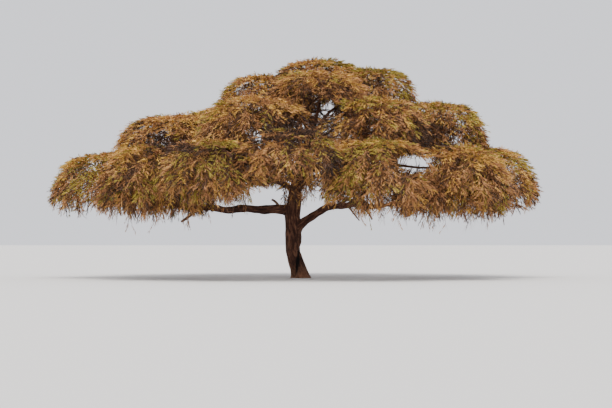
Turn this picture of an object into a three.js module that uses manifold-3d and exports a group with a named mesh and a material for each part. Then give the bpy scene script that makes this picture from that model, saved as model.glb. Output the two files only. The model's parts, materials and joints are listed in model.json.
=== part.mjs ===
// A flat-crowned thorn tree of the dry savannah, +Z up, worked out in metres and given in millimetres.
// The origin is the middle of the flat cut under the trunk, at ground level. X runs across the wide
// front view and +Y runs away from it. The trunk leans and forks, boughs arch out of it, and each bough
// ends in one weeping mass of twigs and leafy sprays.
import * as THREE from "three";
import { mergeVertices } from "three/addons/utils/BufferGeometryUtils.js";
import Module from "manifold-3d";

const wasm = await Module();
wasm.setup();

const MILLIMETRES = 1000;
const UP = new THREE.Vector3(0, 0, 1);
const AWAY = new THREE.Vector3(0, 1, 0);
const FULL_TURN = 2 * Math.PI;
const GOLDEN_TURN = Math.PI * (3 - Math.sqrt(5));

// The clear gap between two solids that meet.
const GAP = 0.0003;

// The trunk from the ground to its fork: at some heights, how far its middle leans in X and in Y, and
// its radius.
const TRUNK_TOP = 4.9;
const TRUNK_STATIONS = [
  { z: 0, lean: [0.04, 0], radius: 0.47 },
  { z: 0.14, lean: [0.03, 0], radius: 0.41 },
  { z: 0.38, lean: [-0.05, 0.01], radius: 0.385 },
  { z: 0.75, lean: [-0.19, 0.02], radius: 0.39 },
  { z: 1.2, lean: [-0.32, 0.04], radius: 0.335 },
  { z: 1.9, lean: [-0.3, 0.05], radius: 0.36 },
  { z: 2.9, lean: [-0.35, 0.03], radius: 0.37 },
  { z: 3.4, lean: [-0.27, 0.01], radius: 0.335 },
  { z: 4.0, lean: [-0.2, 0], radius: 0.29 },
  { z: 4.9, lean: [-0.05, 0.02], radius: 0.24 },
];
const TRUNK_SIDES = 18;
const TRUNK_STEPS = 13;
// Its flutes wind round it, deepest at the foot, and a hollow cleft winds up its front from the left of
// the foot to the right side.
const FLUTES = 4;
const FLUTE_DEPTH = 0.045;
const FLUTE_TWIST = 0.9;
const CLEFT = { angle: -2.6, twist: 1.75, halfAngle: 0.3, depth: 0.36, bottom: -0.1, top: 1.75 };

// A bough is as thick as the number of masses that it carries calls for.
const BOUGH_RADIUS = 0.022;
const BOUGH_RADIUS_PER_LOAD = 0.074;
const BOUGH_TIP_RADIUS = 0.055;
const BOUGH_TAPER = 1.2;
// The two low boughs are the oldest: thicker than their load alone gives, and slow to taper.
const OLD_BOUGHS = {
  rim_left: { girth: 1.27, taper: 2.2 },
  rim_right_front: { girth: 1.42, taper: 1.6 },
};
const BOUGH_SIDES = 6;
const BOUGH_STEP_LENGTH = 0.9;
const BOUGH_STEPS = [4, 8];
const COLLAR = 0.2;
const COLLAR_FADE = 12;
const WAVER = 0.022;

// One row for each mass of the crown, with the bough that carries it: its name, the limb that the bough
// leaves and at what share of that limb's length, the middle of the mass, its half-widths in X and Y,
// its rise above the middle, its fall below, and how far the bough arches up on its way.
const CROWN = [
  ["rim_left", "trunk", 0.63, [-8.7, -0.4, 4.3], [2.75, 2.8], 1.45, 1.5, -0.1],
  ["rim_left_front", "rim_left", 0.62, [-6.3, -4.2, 4.6], [2.7, 2.6], 1.3, 2.1, 0.14],
  ["rim_left_back", "rim_left", 0.54, [-6.7, 4.4, 4.9], [2.8, 2.7], 1.3, 1.5, 0.1],
  ["rim_right_front", "trunk", 0.42, [6.7, -4.0, 4.5], [2.7, 2.7], 1.4, 1.95, 0.28],
  ["rim_front_right", "rim_right_front", 0.42, [3.3, -6.6, 4.8], [2.5, 2.4], 1.2, 2.1, 0.1],
  ["rim_front", "trunk", 0.9, [-0.4, -7.2, 5.2], [2.5, 2.3], 1.2, 1.1, 0.25],
  ["rim_front_left", "rim_front", 0.42, [-3.7, -6.5, 4.9], [2.4, 2.3], 1.1, 1.65, 0.1],
  ["rim_back_left", "trunk", 0.78, [-3.8, 7.0, 5.3], [2.6, 2.5], 1.2, 1.2, 0.1],
  ["rim_back", "rim_back_left", 0.5, [0.1, 7.9, 5.4], [2.5, 2.3], 1.2, 1.2, 0.1],
  ["rim_back_right", "trunk", 0.84, [4.0, 7.1, 5.3], [2.6, 2.5], 1.2, 1.2, 0.1],
  ["rim_right", "trunk", 0.95, [8.3, 0.3, 4.55], [2.75, 2.9], 1.5, 1.6, 0.3],
  ["rim_right_back", "rim_right", 0.55, [7.0, 4.5, 5.0], [2.7, 2.6], 1.3, 1.4, 0.1],
  ["upper_left", "trunk", 0.93, [-5.35, -0.4, 6.4], [3.15, 2.8], 1.05, 1.3, 0.1],
  ["upper_front_left", "upper_left", 0.36, [-1.85, -3.9, 6.8], [2.7, 2.5], 1.2, 1.4, 0.1],
  ["upper_back_left", "upper_left", 0.5, [-3.5, 3.9, 6.9], [2.8, 2.6], 1.2, 1.3, 0.1],
  ["upper_right", "rim_right", 0.34, [6.15, -0.5, 6.75], [2.45, 2.7], 1.3, 1.4, 0.1],
  ["upper_front_right", "trunk", 0.985, [3.1, -4.0, 6.6], [2.7, 2.5], 1.4, 1.4, 0.1],
  ["upper_back_right", "rim_back_right", 0.45, [4.5, 4.0, 6.9], [2.7, 2.6], 1.2, 1.3, 0.1],
  ["top_middle", "trunk", 1, [0.9, 0.1, 8.7], [2.4, 2.5], 1.36, 1.1, 0],
  ["top_left", "top_middle", 0.5, [-1.7, 0.3, 8.15], [2.1, 2.5], 1.2, 1.1, 0.1],
  ["top_right", "top_middle", 0.36, [3.25, 0.2, 8.45], [2.2, 2.5], 1.2, 1.1, 0.1],
  ["top_front", "top_middle", 0.6, [0.8, -2.9, 8.1], [2.4, 2.1], 1.15, 0.9, 0.1],
  ["top_back", "top_middle", 0.7, [0.7, 3.5, 8.0], [2.5, 2.3], 1.2, 1.1, 0.1],
  ["inner_front", "trunk", 0.72, [-0.35, -1.5, 4.2], [1.1, 0.9], 0.9, 1.0, 0.1],
].map(([name, parent, share, at, half, rise, fall, arch]) => {
  return { name, parent, share, at, half, rise, fall, arch };
});

// Dead snags: the bough and share that each leaves, where it ends, its radii, and how far it bends.
const SNAGS = [
  ["snag_left_hook", "rim_left", 0.08, [-1.3, -0.1, 3.6], [0.075, 0.05], [0.06, 0, 0.14]],
  ["snag_left_drooping", "rim_left", 0.65, [-5.42, -0.4, 2.58], [0.085, 0.05], [-0.1, 0, -0.17]],
  ["snag_right", "rim_right_front", 0.48, [2.68, -1.5, 2.62], [0.055, 0.03], [-0.12, 0, 0.1]],
  ["snag_right_outer", "rim_right_front", 0.62, [3.24, -1.95, 2.66], [0.055, 0.04], [-0.05, 0, 0]],
].map(([name, parent, share, to, radii, bend]) => ({ name, parent, share, to, radii, bend }));
// Windows through the crown that stay open where it is seen from the middle of its front: the middle
// and half-widths of each in X and Z, on the level of the trunk.
const VIEWPOINT = new THREE.Vector3(0.3, -80, 1.7);
const WINDOWS = [
  { at: [5.4, 5.2], half: [0.95, 0.42] },
  { at: [1.3, 7.85], half: [0.48, 0.36] },
  { at: [-1.9, 6.4], half: [0.25, 0.36] },
];

const SNAG_LIMB = { sides: 5, steps: 3 };

// How a mass grows, in shares of its own sizes. Its bough ends low on the side of the trunk, a stem
// leads on to the head, main twigs fan out from the head, and each spray runs from its own place on a
// main twig to its own place on the dome, round whose edge the sprays weep.
const BOUGH_END = { inward: 0.68, down: 0.5 };
const HEAD = { inward: 0.25, down: 0.15 };
const OVERHEAD = 1.5;
const STEM = { radii: [0.055, 0.05], sides: 5, steps: 2 };
const MAIN_TWIG = { count: 5, reach: 0.72, height: -0.3, arch: 0.3 };
const MAIN_TWIG_LIMB = { radii: [0.05, 0.03], sides: 3, steps: 2 };
const CORE = { width: 0.58, rise: 0.68, fall: 0.35, sides: 7, bands: 4 };
const PULLS = [1, 0.88, 0.76, 0.64, 0.52, 0.4];
const DOME = { height: 0.99, droopFrom: 0.62, droop: 0.62, power: 1.8 };
const SPRAYS = { count: 20, innermost: 0.3, outermost: 0.985 };
const HANGING = { outwards: 0.12, depth: 0.95, from: 0.85 };
const SPRAY = { width: 0.44, thickness: 0.08, arch: 0.1, widest: 0.52, sink: 0.85, run: 0.5 };
const SHORTER_TRIES = [1, 0.85, 0.7, 0.55];
const MASS_MARGIN = 0.035;
const LIMB_MARGIN = 0.02;

const BARK = new THREE.MeshStandardMaterial({ color: 0x4a3427, roughness: 0.95, metalness: 0 });
const DEAD_WOOD = new THREE.MeshStandardMaterial({ color: 0x5c4636, roughness: 0.95, metalness: 0 });
const FOLIAGE = new THREE.MeshStandardMaterial({ color: 0x9a7433, roughness: 0.85, metalness: 0 });

const vector = (xyz) => new THREE.Vector3(...xyz);
const mix = (a, b, share) => a + (b - a) * share;
const range = (count) => Array.from({ length: count }, (_, i) => i);

// A small seeded generator of numbers from 0 to 1.
function seededRandom(seed) {
  let state = seed >>> 0;
  return () => {
    state = (state + 0x6d2b79f5) >>> 0;
    let mixed = Math.imul(state ^ (state >>> 15), state | 1);
    mixed ^= mixed + Math.imul(mixed ^ (mixed >>> 7), mixed | 61);
    return ((mixed ^ (mixed >>> 14)) >>> 0) / 4294967296;
  };
}

// A limb is a row of rings along its middle line. Each has a point, the direction along the limb and a
// radius, and shape is how the radius changes round the ring.
function limbFrom(name, curve, radiusAt, { sides, steps }, firstAlong) {
  const step = 1e-3;
  const rings = range(steps + 1).map((i) => {
    const share = i / steps;
    const behind = curve(Math.max(0, share - step));
    const ahead = curve(Math.min(1, share + step));
    const along = (i === 0 && firstAlong) || ahead.sub(behind).normalize();
    return { point: curve(share), along, radius: radiusAt(share) };
  });
  return { name, rings, sides, steps, shape: () => 1 };
}

// The point, direction and radius at a share of a limb's length, between its rings.
function placeOn(limb, share) {
  const spot = share * limb.steps;
  const low = limb.rings[Math.min(Math.floor(spot), limb.steps - 1)];
  const high = limb.rings[Math.min(Math.floor(spot), limb.steps - 1) + 1];
  const between = spot - Math.min(Math.floor(spot), limb.steps - 1);
  return {
    point: low.point.clone().lerp(high.point, between),
    along: low.along.clone().lerp(high.along, between).normalize(),
    radius: mix(low.radius, high.radius, between),
  };
}

// A value of the trunk at a height, between its stations.
function trunkValue(z, read) {
  const next = THREE.MathUtils.clamp(
    TRUNK_STATIONS.findIndex((station) => station.z >= z - 1e-9),
    1,
    TRUNK_STATIONS.length - 1,
  );
  const [low, high] = [TRUNK_STATIONS[next - 1], TRUNK_STATIONS[next]];
  return mix(read(low), read(high), (z - low.z) / (high.z - low.z));
}

// The trunk, in level rings whose outline has the flutes and the cleft.
function trunkLimb() {
  const rings = range(TRUNK_STEPS + 1).map((i) => {
    const z = (TRUNK_TOP * i) / TRUNK_STEPS;
    const point = new THREE.Vector3(trunkValue(z, (s) => s.lean[0]), trunkValue(z, (s) => s.lean[1]), z);
    return { point, along: UP, radius: trunkValue(z, (s) => s.radius) };
  });
  const shape = (z, angle) => {
    const flute = FLUTE_DEPTH * (1.3 - z / TRUNK_TOP) * Math.cos(FLUTES * (angle - FLUTE_TWIST * z));
    const middle = (CLEFT.bottom + CLEFT.top) / 2;
    const open = Math.sqrt(Math.max(0, 1 - Math.abs(z - middle) / (CLEFT.top - middle)));
    const off = angle - CLEFT.angle - CLEFT.twist * z;
    const turn = Math.atan2(Math.sin(off), Math.cos(off));
    return 1 + flute - CLEFT.depth * open * Math.exp(-((turn / CLEFT.halfAngle) ** 2));
  };
  return { name: "trunk", rings, sides: TRUNK_SIDES, steps: TRUNK_STEPS, shape };
}

// The level direction from a mass to the top of the trunk, or none for a mass right over it.
function inward(mass) {
  const towards = vector([TRUNK_STATIONS.at(-1).lean[0], 0, 0]).sub(vector(mass.at)).setZ(0);
  return towards.length() > OVERHEAD ? towards.normalize() : towards.set(0, 0, 0);
}

// Where a mass's bough ends and its stem begins, and where the stem divides.
function boughEnd(mass) {
  const end = vector(mass.at).addScaledVector(inward(mass), BOUGH_END.inward * mass.half[0]);
  return end.addScaledVector(UP, -BOUGH_END.down * mass.fall);
}

function headOf(mass) {
  const head = vector(mass.at).addScaledVector(inward(mass), HEAD.inward * mass.half[0]);
  return head.addScaledVector(UP, -HEAD.down * mass.fall);
}

// How many masses a bough carries, with those of the boughs that leave it.
function loadOf(name) {
  return CROWN.filter((row) => row.parent === name).reduce((sum, row) => sum + loadOf(row.name), 1);
}

// A bough leaves its parent partly along it, arches, and runs into its mass along the mass's stem. A
// slight seeded waver keeps it from being a plain arc.
function boughLimb(mass, index, limbs) {
  const parent = placeOn(limbs.get(mass.parent), mass.share);
  const from = parent.point;
  const to = boughEnd(mass);
  const way = to.clone().sub(from);
  const reach = way.length();
  way.divideScalar(reach);
  const start = way.clone().addScaledVector(parent.along, 0.25).addScaledVector(UP, 2 * mass.arch);
  const end = headOf(mass).sub(to).normalize().addScaledVector(way, 0.8).addScaledVector(UP, -mass.arch);
  const curve = new THREE.CubicBezierCurve3(
    from,
    from.clone().addScaledVector(start.normalize(), 0.38 * reach),
    to.clone().addScaledVector(end.normalize(), -0.34 * reach),
    to,
  );
  const random = seededRandom(100 + index);
  const side = way.clone().cross(UP).normalize();
  const sway = mix(-WAVER, WAVER, random()) * reach;
  const lift = mix(-WAVER, WAVER, random()) * reach;
  const waves = mix(1.5, 2.5, random());
  const pointAt = (share) => {
    const waver = Math.sin(Math.PI * share) * Math.sin(waves * Math.PI * share);
    return curve.getPoint(share).addScaledVector(side, sway * waver).addScaledVector(UP, lift * waver);
  };
  const { girth, taper } = OLD_BOUGHS[mass.name] ?? { girth: 1, taper: BOUGH_TAPER };
  const rootRadius = girth * (BOUGH_RADIUS + BOUGH_RADIUS_PER_LOAD * Math.sqrt(loadOf(mass.name)));
  const radiusAt = (share) =>
    mix(rootRadius, BOUGH_TIP_RADIUS, share ** taper) * (1 + COLLAR * Math.exp(-COLLAR_FADE * share));
  const steps = THREE.MathUtils.clamp(Math.round(reach / BOUGH_STEP_LENGTH), ...BOUGH_STEPS);
  return limbFrom(mass.name, pointAt, radiusAt, { sides: BOUGH_SIDES, steps });
}

function snagLimb(snag, limbs) {
  const from = placeOn(limbs.get(snag.parent), snag.share).point;
  const to = vector(snag.to);
  const bend = from.clone().lerp(to, 0.5).add(vector(snag.bend));
  const curve = new THREE.QuadraticBezierCurve3(from, bend, to);
  const radiusAt = (share) => mix(...snag.radii, share);
  return limbFrom(snag.name, (share) => curve.getPoint(share), radiusAt, SNAG_LIMB);
}

// A three.js cylinder whose rings are carried to those of the limb. grow makes the slightly larger body
// that a neighbour is cut by.
function limbGeometry(limb, grow = 0) {
  const geometry = new THREE.CylinderGeometry(1, 1, 1, limb.sides, limb.steps);
  const position = geometry.getAttribute("position");
  for (const i of range(position.count)) {
    const ring = limb.rings[Math.round((position.getY(i) + 0.5) * limb.steps)];
    const across = ring.along.clone().cross(Math.abs(ring.along.z) > 0.95 ? AWAY : UP).normalize();
    const other = ring.along.clone().cross(across);
    const [x, y] = [position.getX(i), -position.getZ(i)];
    const point = ring.point.clone();
    if (Math.hypot(x, y) > 0.5) {
      const outwards = across.multiplyScalar(x).addScaledVector(other, y);
      const radius = ring.radius * limb.shape(ring.point.z, Math.atan2(outwards.y, outwards.x)) + grow;
      point.addScaledVector(outwards, radius);
    }
    if (ring === limb.rings[0]) point.addScaledVector(ring.along, -grow);
    if (ring === limb.rings[limb.steps]) point.addScaledVector(ring.along, grow);
    position.setXYZ(i, ...point.multiplyScalar(MILLIMETRES));
  }
  return geometry;
}

// A closed three.js geometry as a solid that can be cut and joined, and back.
function solidOf(geometry) {
  geometry.deleteAttribute("normal");
  geometry.deleteAttribute("uv");
  const merged = mergeVertices(geometry, 1e-3);
  const vertProperties = merged.getAttribute("position").array;
  const triVerts = new Uint32Array(merged.getIndex().array);
  return new wasm.Manifold(new wasm.Mesh({ numProp: 3, vertProperties, triVerts }));
}

function geometryOf(solid) {
  const { vertProperties, triVerts } = solid.getMesh();
  const geometry = new THREE.BufferGeometry();
  geometry.setAttribute("position", new THREE.BufferAttribute(vertProperties, 3));
  geometry.setIndex(new THREE.BufferAttribute(triVerts, 1));
  geometry.computeVertexNormals();
  return geometry;
}

// The largest body of a solid: what a cut or a join leaves loose is dropped.
function largestBody(solid) {
  return solid.decompose().reduce((most, body) => (body.volume() > most.volume() ? body : most));
}

// How far out a point lies in a mass: 0 at its middle and 1 on its surface. It is round above its
// middle, and below it keeps its width further down, for the hanging edge.
function levelIn(mass, point) {
  const [x, y, z] = mass.at;
  const across = Math.hypot((point.x - x) / mass.half[0], (point.y - y) / mass.half[1]);
  const below = point.z < z;
  const power = below ? 4 : 2;
  const up = Math.abs(point.z - z) / (below ? mass.fall : mass.rise);
  return (across ** power + up ** power) ** (1 / power);
}

function clearOfLimb(limb, point, room) {
  return limb.rings.slice(1).every((ring, i) => {
    const line = new THREE.Line3(limb.rings[i].point, ring.point);
    const share = line.closestPointToPointParameter(point, true);
    const nearest = line.at(share, new THREE.Vector3());
    const radius = mix(limb.rings[i].radius, ring.radius, share);
    return nearest.distanceTo(point) > radius + room + LIMB_MARGIN;
  });
}

// True where a point lies on a line of sight through a window.
function inWindow(point) {
  const seen = VIEWPOINT.clone().lerp(point, -VIEWPOINT.y / (point.y - VIEWPOINT.y));
  const off = ({ at, half }) => Math.hypot((seen.x - at[0]) / half[0], (seen.z - at[1]) / half[1]);
  return WINDOWS.some((window) => off(window) < 1);
}

// True where a point, with some room round it, is in the mass's own space and off every limb.
function isFree(mass, point, room, limbs) {
  const own = levelIn(mass, point);
  if (own > 1 || inWindow(point)) return false;
  if (CROWN.some((other) => other !== mass && levelIn(other, point) < own + MASS_MARGIN)) return false;
  return [...limbs.values()].every((limb) => clearOfLimb(limb, point, room));
}

// The stem of a mass, from its bough's tip to its head.
function stemLimb(mass, bough) {
  const tip = bough.rings.at(-1);
  const head = headOf(mass);
  const foot = tip.point.clone().addScaledVector(tip.along, GAP);
  const bend = foot.clone().addScaledVector(tip.along, 0.4 * head.distanceTo(foot));
  const curve = new THREE.QuadraticBezierCurve3(foot, bend, head);
  const radiusAt = (share) => mix(...STEM.radii, share);
  return limbFrom("stem", (share) => curve.getPoint(share), radiusAt, STEM, tip.along);
}

// The main twigs of a mass, fanned out from its head, without those that would touch a limb.
function mainTwigs(mass, random, limbs) {
  const head = headOf(mass);
  const first = FULL_TURN * random();
  const twigs = range(MAIN_TWIG.count).map((i) => {
    const turn = first + (FULL_TURN * (i + mix(-0.15, 0.15, random()))) / MAIN_TWIG.count;
    const [x, y] = [Math.cos(turn) * MAIN_TWIG.reach, Math.sin(turn) * MAIN_TWIG.reach];
    const end = new THREE.Vector3(mass.half[0] * x, mass.half[1] * y, mass.fall * MAIN_TWIG.height);
    end.add(vector(mass.at));
    const over = head.clone().lerp(end, 0.55).addScaledVector(UP, MAIN_TWIG.arch * mass.rise);
    const curve = new THREE.QuadraticBezierCurve3(head, over, end);
    const radiusAt = (share) => mix(...MAIN_TWIG_LIMB.radii, share);
    return limbFrom("twig", (share) => curve.getPoint(share), radiusAt, MAIN_TWIG_LIMB);
  });
  const room = MAIN_TWIG_LIMB.radii[0];
  return twigs.filter((twig) =>
    [0.4, 0.6, 0.8, 1].every((share) => isFree(mass, placeOn(twig, share).point, room, limbs)),
  );
}

// A place on the dense core of a mass, for a direction from the core's middle: a low dome, pulled in
// where it would leave the mass's own space.
function corePlace(mass, x, y, z) {
  const middle = vector(mass.at);
  const height = z * (z < 0 ? CORE.fall * mass.fall : CORE.rise * mass.rise);
  const offset = new THREE.Vector3(CORE.width * mass.half[0] * x, CORE.width * mass.half[1] * y, height);
  const pulled = (share) => middle.clone().addScaledVector(offset, share);
  return pulled(PULLS.find((share) => isFree(mass, pulled(share), 0, [])) ?? 0);
}

// The core as a three.js sphere carried to its places.
function coreGeometry(mass) {
  const geometry = new THREE.SphereGeometry(1, CORE.sides, CORE.bands);
  const position = geometry.getAttribute("position");
  for (const i of range(position.count)) {
    const place = corePlace(mass, position.getX(i), -position.getZ(i), position.getY(i));
    position.setXYZ(i, ...place.multiplyScalar(MILLIMETRES));
  }
  return geometry;
}

// Where the spray that ends at a place of the dome is rooted: sunk in the core, nearer its middle.
function sprayRoot(mass, end) {
  const [x, y] = [(end.x - mass.at[0]) / mass.half[0], (end.y - mass.at[1]) / mass.half[1]];
  const reach = Math.hypot(x, y);
  const out = Math.min(0.95, Math.max(0, reach - SPRAY.run) / CORE.width);
  const surface = corePlace(mass, (x / reach) * out, (y / reach) * out, Math.sqrt(1 - out * out));
  return vector(mass.at).lerp(surface, SPRAY.sink);
}

// A place over a mass, at a share of its half-widths and a turn round it. The edge of the dome weeps.
function domePlace(mass, reach, turn) {
  const droop = Math.max(0, (reach - DOME.droopFrom) / (1 - DOME.droopFrom)) ** DOME.power;
  const height = mass.rise * DOME.height * Math.sqrt(1 - reach * reach) - mass.fall * DOME.droop * droop;
  const [x, y] = [Math.cos(turn) * reach, Math.sin(turn) * reach];
  return new THREE.Vector3(mass.half[0] * x, mass.half[1] * y, height).add(vector(mass.at));
}

// Where the sprays of a mass end: on a spiral of even places over its dome, from the edge inwards, the
// first one away from the trunk.
function sprayEnds(mass) {
  const first = Math.atan2(mass.at[1], mass.at[0]);
  return range(SPRAYS.count).map((i) => {
    const area = mix(SPRAYS.outermost ** 2, SPRAYS.innermost ** 2, i / (SPRAYS.count - 1));
    return domePlace(mass, Math.sqrt(area), first + i * GOLDEN_TURN);
  });
}

// A spray that hangs from the end of each main twig.
function hangingSprays(mass, twigs) {
  return twigs.map((twig) => {
    const tip = placeOn(twig, 1).point;
    const end = tip.clone().addScaledVector(tip.clone().sub(vector(mass.at)), HANGING.outwards);
    end.setZ(mass.at[2] - HANGING.depth * mass.fall);
    return { root: placeOn(twig, HANGING.from).point, end };
  });
}

// An arched blade of six faces for a spray of leafy twiglets, drawn out from its root to its end: a
// sphere of three sides and two bands.
function sprayGeometry(root, end) {
  const along = end.clone().sub(root);
  const length = along.length();
  along.divideScalar(length);
  const side = along.clone().cross(UP);
  if (side.length() < 0.3) side.copy(along).cross(AWAY);
  side.normalize();
  const over = side.clone().cross(along);
  const geometry = new THREE.SphereGeometry(1, 3, 2);
  const position = geometry.getAttribute("position");
  for (const i of range(position.count)) {
    const atTip = Math.abs(position.getY(i)) > 0.5;
    const share = atTip ? (position.getY(i) < 0 ? 0 : 1) : SPRAY.widest;
    const point = root.clone().addScaledVector(along, share * length);
    if (!atTip) {
      point.addScaledVector(over, (SPRAY.arch - SPRAY.thickness * position.getX(i)) * length);
      point.addScaledVector(side, (position.getZ(i) * SPRAY.width * length) / Math.sqrt(3));
    }
    position.setXYZ(i, ...point.multiplyScalar(MILLIMETRES));
  }
  return geometry;
}

// True where a spray keeps to the space of its mass and off the limbs, all along it.
function sprayFits(mass, root, end, limbs) {
  const length = root.distanceTo(end);
  return [0.25, SPRAY.widest, 0.75, 1].every((share) => {
    const body = share < SPRAY.widest ? share / SPRAY.widest : (1 - share) / (1 - SPRAY.widest);
    const point = root.clone().lerp(end, share).addScaledVector(UP, SPRAY.arch * length * body);
    const room = (SPRAY.width * length * body) / 2;
    const side = end.clone().sub(root).cross(UP).setLength(room);
    const edges = [point.clone().add(side), point.clone().sub(side)];
    return isFree(mass, point, room, limbs) && edges.every((edge) => isFree(mass, edge, 0, limbs));
  });
}

// One mass as a solid: its stem, main twigs, core and sprays, joined, and cut clear of the limbs.
function massSolid(mass, index, limbs) {
  const random = seededRandom(1 + index);
  const twigs = mainTwigs(mass, random, limbs);
  const solids = twigs.map((limb) => solidOf(limbGeometry(limb)));
  solids.push(solidOf(coreGeometry(mass)));
  const sprays = sprayEnds(mass).map((end) => ({ root: sprayRoot(mass, end), end }));
  for (const { root, end } of [...sprays, ...hangingSprays(mass, twigs)]) {
    const ends = SHORTER_TRIES.map((share) => root.clone().lerp(end, share));
    const fitting = ends.find((tried) => sprayFits(mass, root, tried, limbs));
    if (fitting) solids.push(solidOf(sprayGeometry(root, fitting)));
  }
  const leafy = [...limbs.values()].reduce(cutClear, wasm.Manifold.union(solids));
  return largestBody(leafy.add(solidOf(limbGeometry(stemLimb(mass, limbs.get(mass.name))))));
}

function cutClear(solid, limb) {
  return solid.subtract(solidOf(limbGeometry(limb, GAP)));
}

// A limb as a solid, cut clear of the limbs that it leaves or passes.
function limbSolid(limb, earlier) {
  return largestBody([...earlier.values()].reduce(cutClear, solidOf(limbGeometry(limb))));
}

function meshOf(name, solid, material) {
  const mesh = new THREE.Mesh(geometryOf(solid), material);
  mesh.name = name;
  return mesh;
}

function buildTree() {
  const tree = new THREE.Group();
  const limbs = new Map();
  const addLimb = (name, limb, material) => {
    tree.add(meshOf(name, limbSolid(limb, limbs), material));
    limbs.set(limb.name, limb);
  };
  addLimb("trunk", trunkLimb(), BARK);
  CROWN.forEach((mass, index) => addLimb("bough_" + mass.name, boughLimb(mass, index, limbs), BARK));
  SNAGS.forEach((snag) => addLimb(snag.name, snagLimb(snag, limbs), DEAD_WOOD));
  CROWN.forEach((mass, index) => {
    tree.add(meshOf("foliage_" + mass.name, massSolid(mass, index, limbs), FOLIAGE));
  });
  return tree;
}

export default buildTree();
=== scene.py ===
"""Dresses a flat-crowned thorn tree: bark with its relief, branches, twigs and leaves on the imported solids.

Everything is in metres, +Z up, with the origin in the middle of the flat cut under the trunk. The limbs
and the masses of the crown follow the same sizes and the same seeded rule as the solids, carried on to
finer branches, twigs and leaves.
"""

import json
import logging
import math
from collections.abc import Callable, Iterable
from dataclasses import dataclass, field
from enum import Enum

import bmesh
import bpy
import numpy as np
from mathutils import Matrix, Vector

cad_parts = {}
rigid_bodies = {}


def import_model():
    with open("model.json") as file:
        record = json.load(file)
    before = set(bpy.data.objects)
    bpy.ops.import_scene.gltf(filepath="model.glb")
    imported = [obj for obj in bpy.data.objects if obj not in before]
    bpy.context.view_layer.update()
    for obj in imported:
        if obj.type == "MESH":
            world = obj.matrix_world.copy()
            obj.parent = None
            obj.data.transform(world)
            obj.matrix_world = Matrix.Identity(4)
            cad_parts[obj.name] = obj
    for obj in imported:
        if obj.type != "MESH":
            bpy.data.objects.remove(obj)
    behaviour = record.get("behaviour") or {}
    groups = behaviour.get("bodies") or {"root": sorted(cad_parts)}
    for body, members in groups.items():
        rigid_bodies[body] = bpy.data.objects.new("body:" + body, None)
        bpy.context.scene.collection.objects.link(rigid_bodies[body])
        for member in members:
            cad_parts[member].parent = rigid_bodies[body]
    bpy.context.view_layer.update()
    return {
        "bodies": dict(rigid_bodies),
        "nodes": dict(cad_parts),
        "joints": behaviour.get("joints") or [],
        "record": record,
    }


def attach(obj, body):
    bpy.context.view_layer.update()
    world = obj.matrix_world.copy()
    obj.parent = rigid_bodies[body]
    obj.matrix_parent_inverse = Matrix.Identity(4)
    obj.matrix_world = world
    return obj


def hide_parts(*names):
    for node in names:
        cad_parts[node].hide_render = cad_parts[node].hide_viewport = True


LOG = logging.getLogger("thorn_tree")

UP = np.array([0.0, 0.0, 1.0])
FULL_TURN = 2 * math.pi
GOLDEN_TURN = math.pi * (3 - math.sqrt(5))
BODY = "root"

# The place that the tree is seen from, in the middle of its front.
VIEWPOINT = np.array([0.3, -80.0, 1.7])


def lerp(a: np.ndarray | float, b: np.ndarray | float, share: np.ndarray | float) -> np.ndarray | float:
    """The value at a share of the way from a to b."""
    return a + (b - a) * share


def unit(vectors: np.ndarray) -> np.ndarray:
    """The vectors, along the last axis, at length 1."""
    return vectors / np.maximum(np.linalg.norm(vectors, axis=-1, keepdims=True), 1e-9)


def bezier(points: list[np.ndarray], share: float) -> np.ndarray:
    """The point at a share of a Bezier curve.

    Args:
        points: The curve's control points.
        share: From 0 at the start to 1 at the end.

    Returns:
        The point on the curve.
    """
    while len(points) > 1:
        points = [lerp(a, b, share) for a, b in zip(points, points[1:])]
    return points[0]


def bezier_line(points: list[np.ndarray], count: int, end: float = 1.0) -> np.ndarray:
    """Points at even shares of a Bezier curve, from its start to a share of it."""
    return np.array([bezier(points, share) for share in np.linspace(0, end, count)])


def distances_along(points: np.ndarray) -> np.ndarray:
    """How far along a line each of its points lies."""
    return np.concatenate([[0], np.cumsum(np.linalg.norm(np.diff(points, axis=0), axis=1))])


class SeededRandom:
    """A small seeded generator of numbers from 0 to 1, the same as the one behind the solids."""

    MASK = 0xFFFFFFFF
    STEP = 0x6D2B79F5

    def __init__(self, seed: int) -> None:
        """Starts the generator at a seed."""
        self.state = seed & self.MASK

    def __call__(self) -> float:
        """Moves the generator on.

        Returns:
            The next number.
        """
        mask = self.MASK
        self.state = (self.state + self.STEP) & mask
        mixed = ((self.state ^ (self.state >> 15)) * (self.state | 1)) & mask
        mixed ^= (mixed + ((mixed ^ (mixed >> 7)) * (mixed | 61) & mask)) & mask
        return ((mixed ^ (mixed >> 14)) & mask) / (mask + 1)


class Noise:
    """Seeded smooth noise over space, from -1 to 1, worked out for many points at once."""

    SIZE = 256
    OCTAVE_SHIFT = 17.3

    def __init__(self, seed: int) -> None:
        """Makes the table of values that the lattice reads.

        Args:
            seed: What the table is shuffled by.
        """
        random = np.random.default_rng(seed)
        self.table = random.permutation(self.SIZE)
        self.values = random.uniform(-1, 1, self.SIZE)

    def __call__(self, points: np.ndarray) -> np.ndarray:
        """The noise at each point.

        Args:
            points: An array of n points, in lattice cells.

        Returns:
            n values.
        """
        cell = np.floor(points).astype(int)
        part = points - cell
        part = part * part * (3 - 2 * part)
        total = np.zeros(len(points))
        for corner in np.ndindex(2, 2, 2):
            spot = np.zeros(len(points), int)
            for along in (cell + corner).T:
                spot = self.table[(spot + along) & (self.SIZE - 1)]
            weight = np.prod(np.where(np.array(corner) == 1, part, 1 - part), axis=1)
            total += weight * self.values[spot]
        return total

    def layered(self, points: np.ndarray, octaves: int) -> np.ndarray:
        """Several octaves of the noise, each at twice the pitch and half the height."""
        return sum(self(points * 2**i + self.OCTAVE_SHIFT * i) / 2**i for i in range(octaves))


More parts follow.
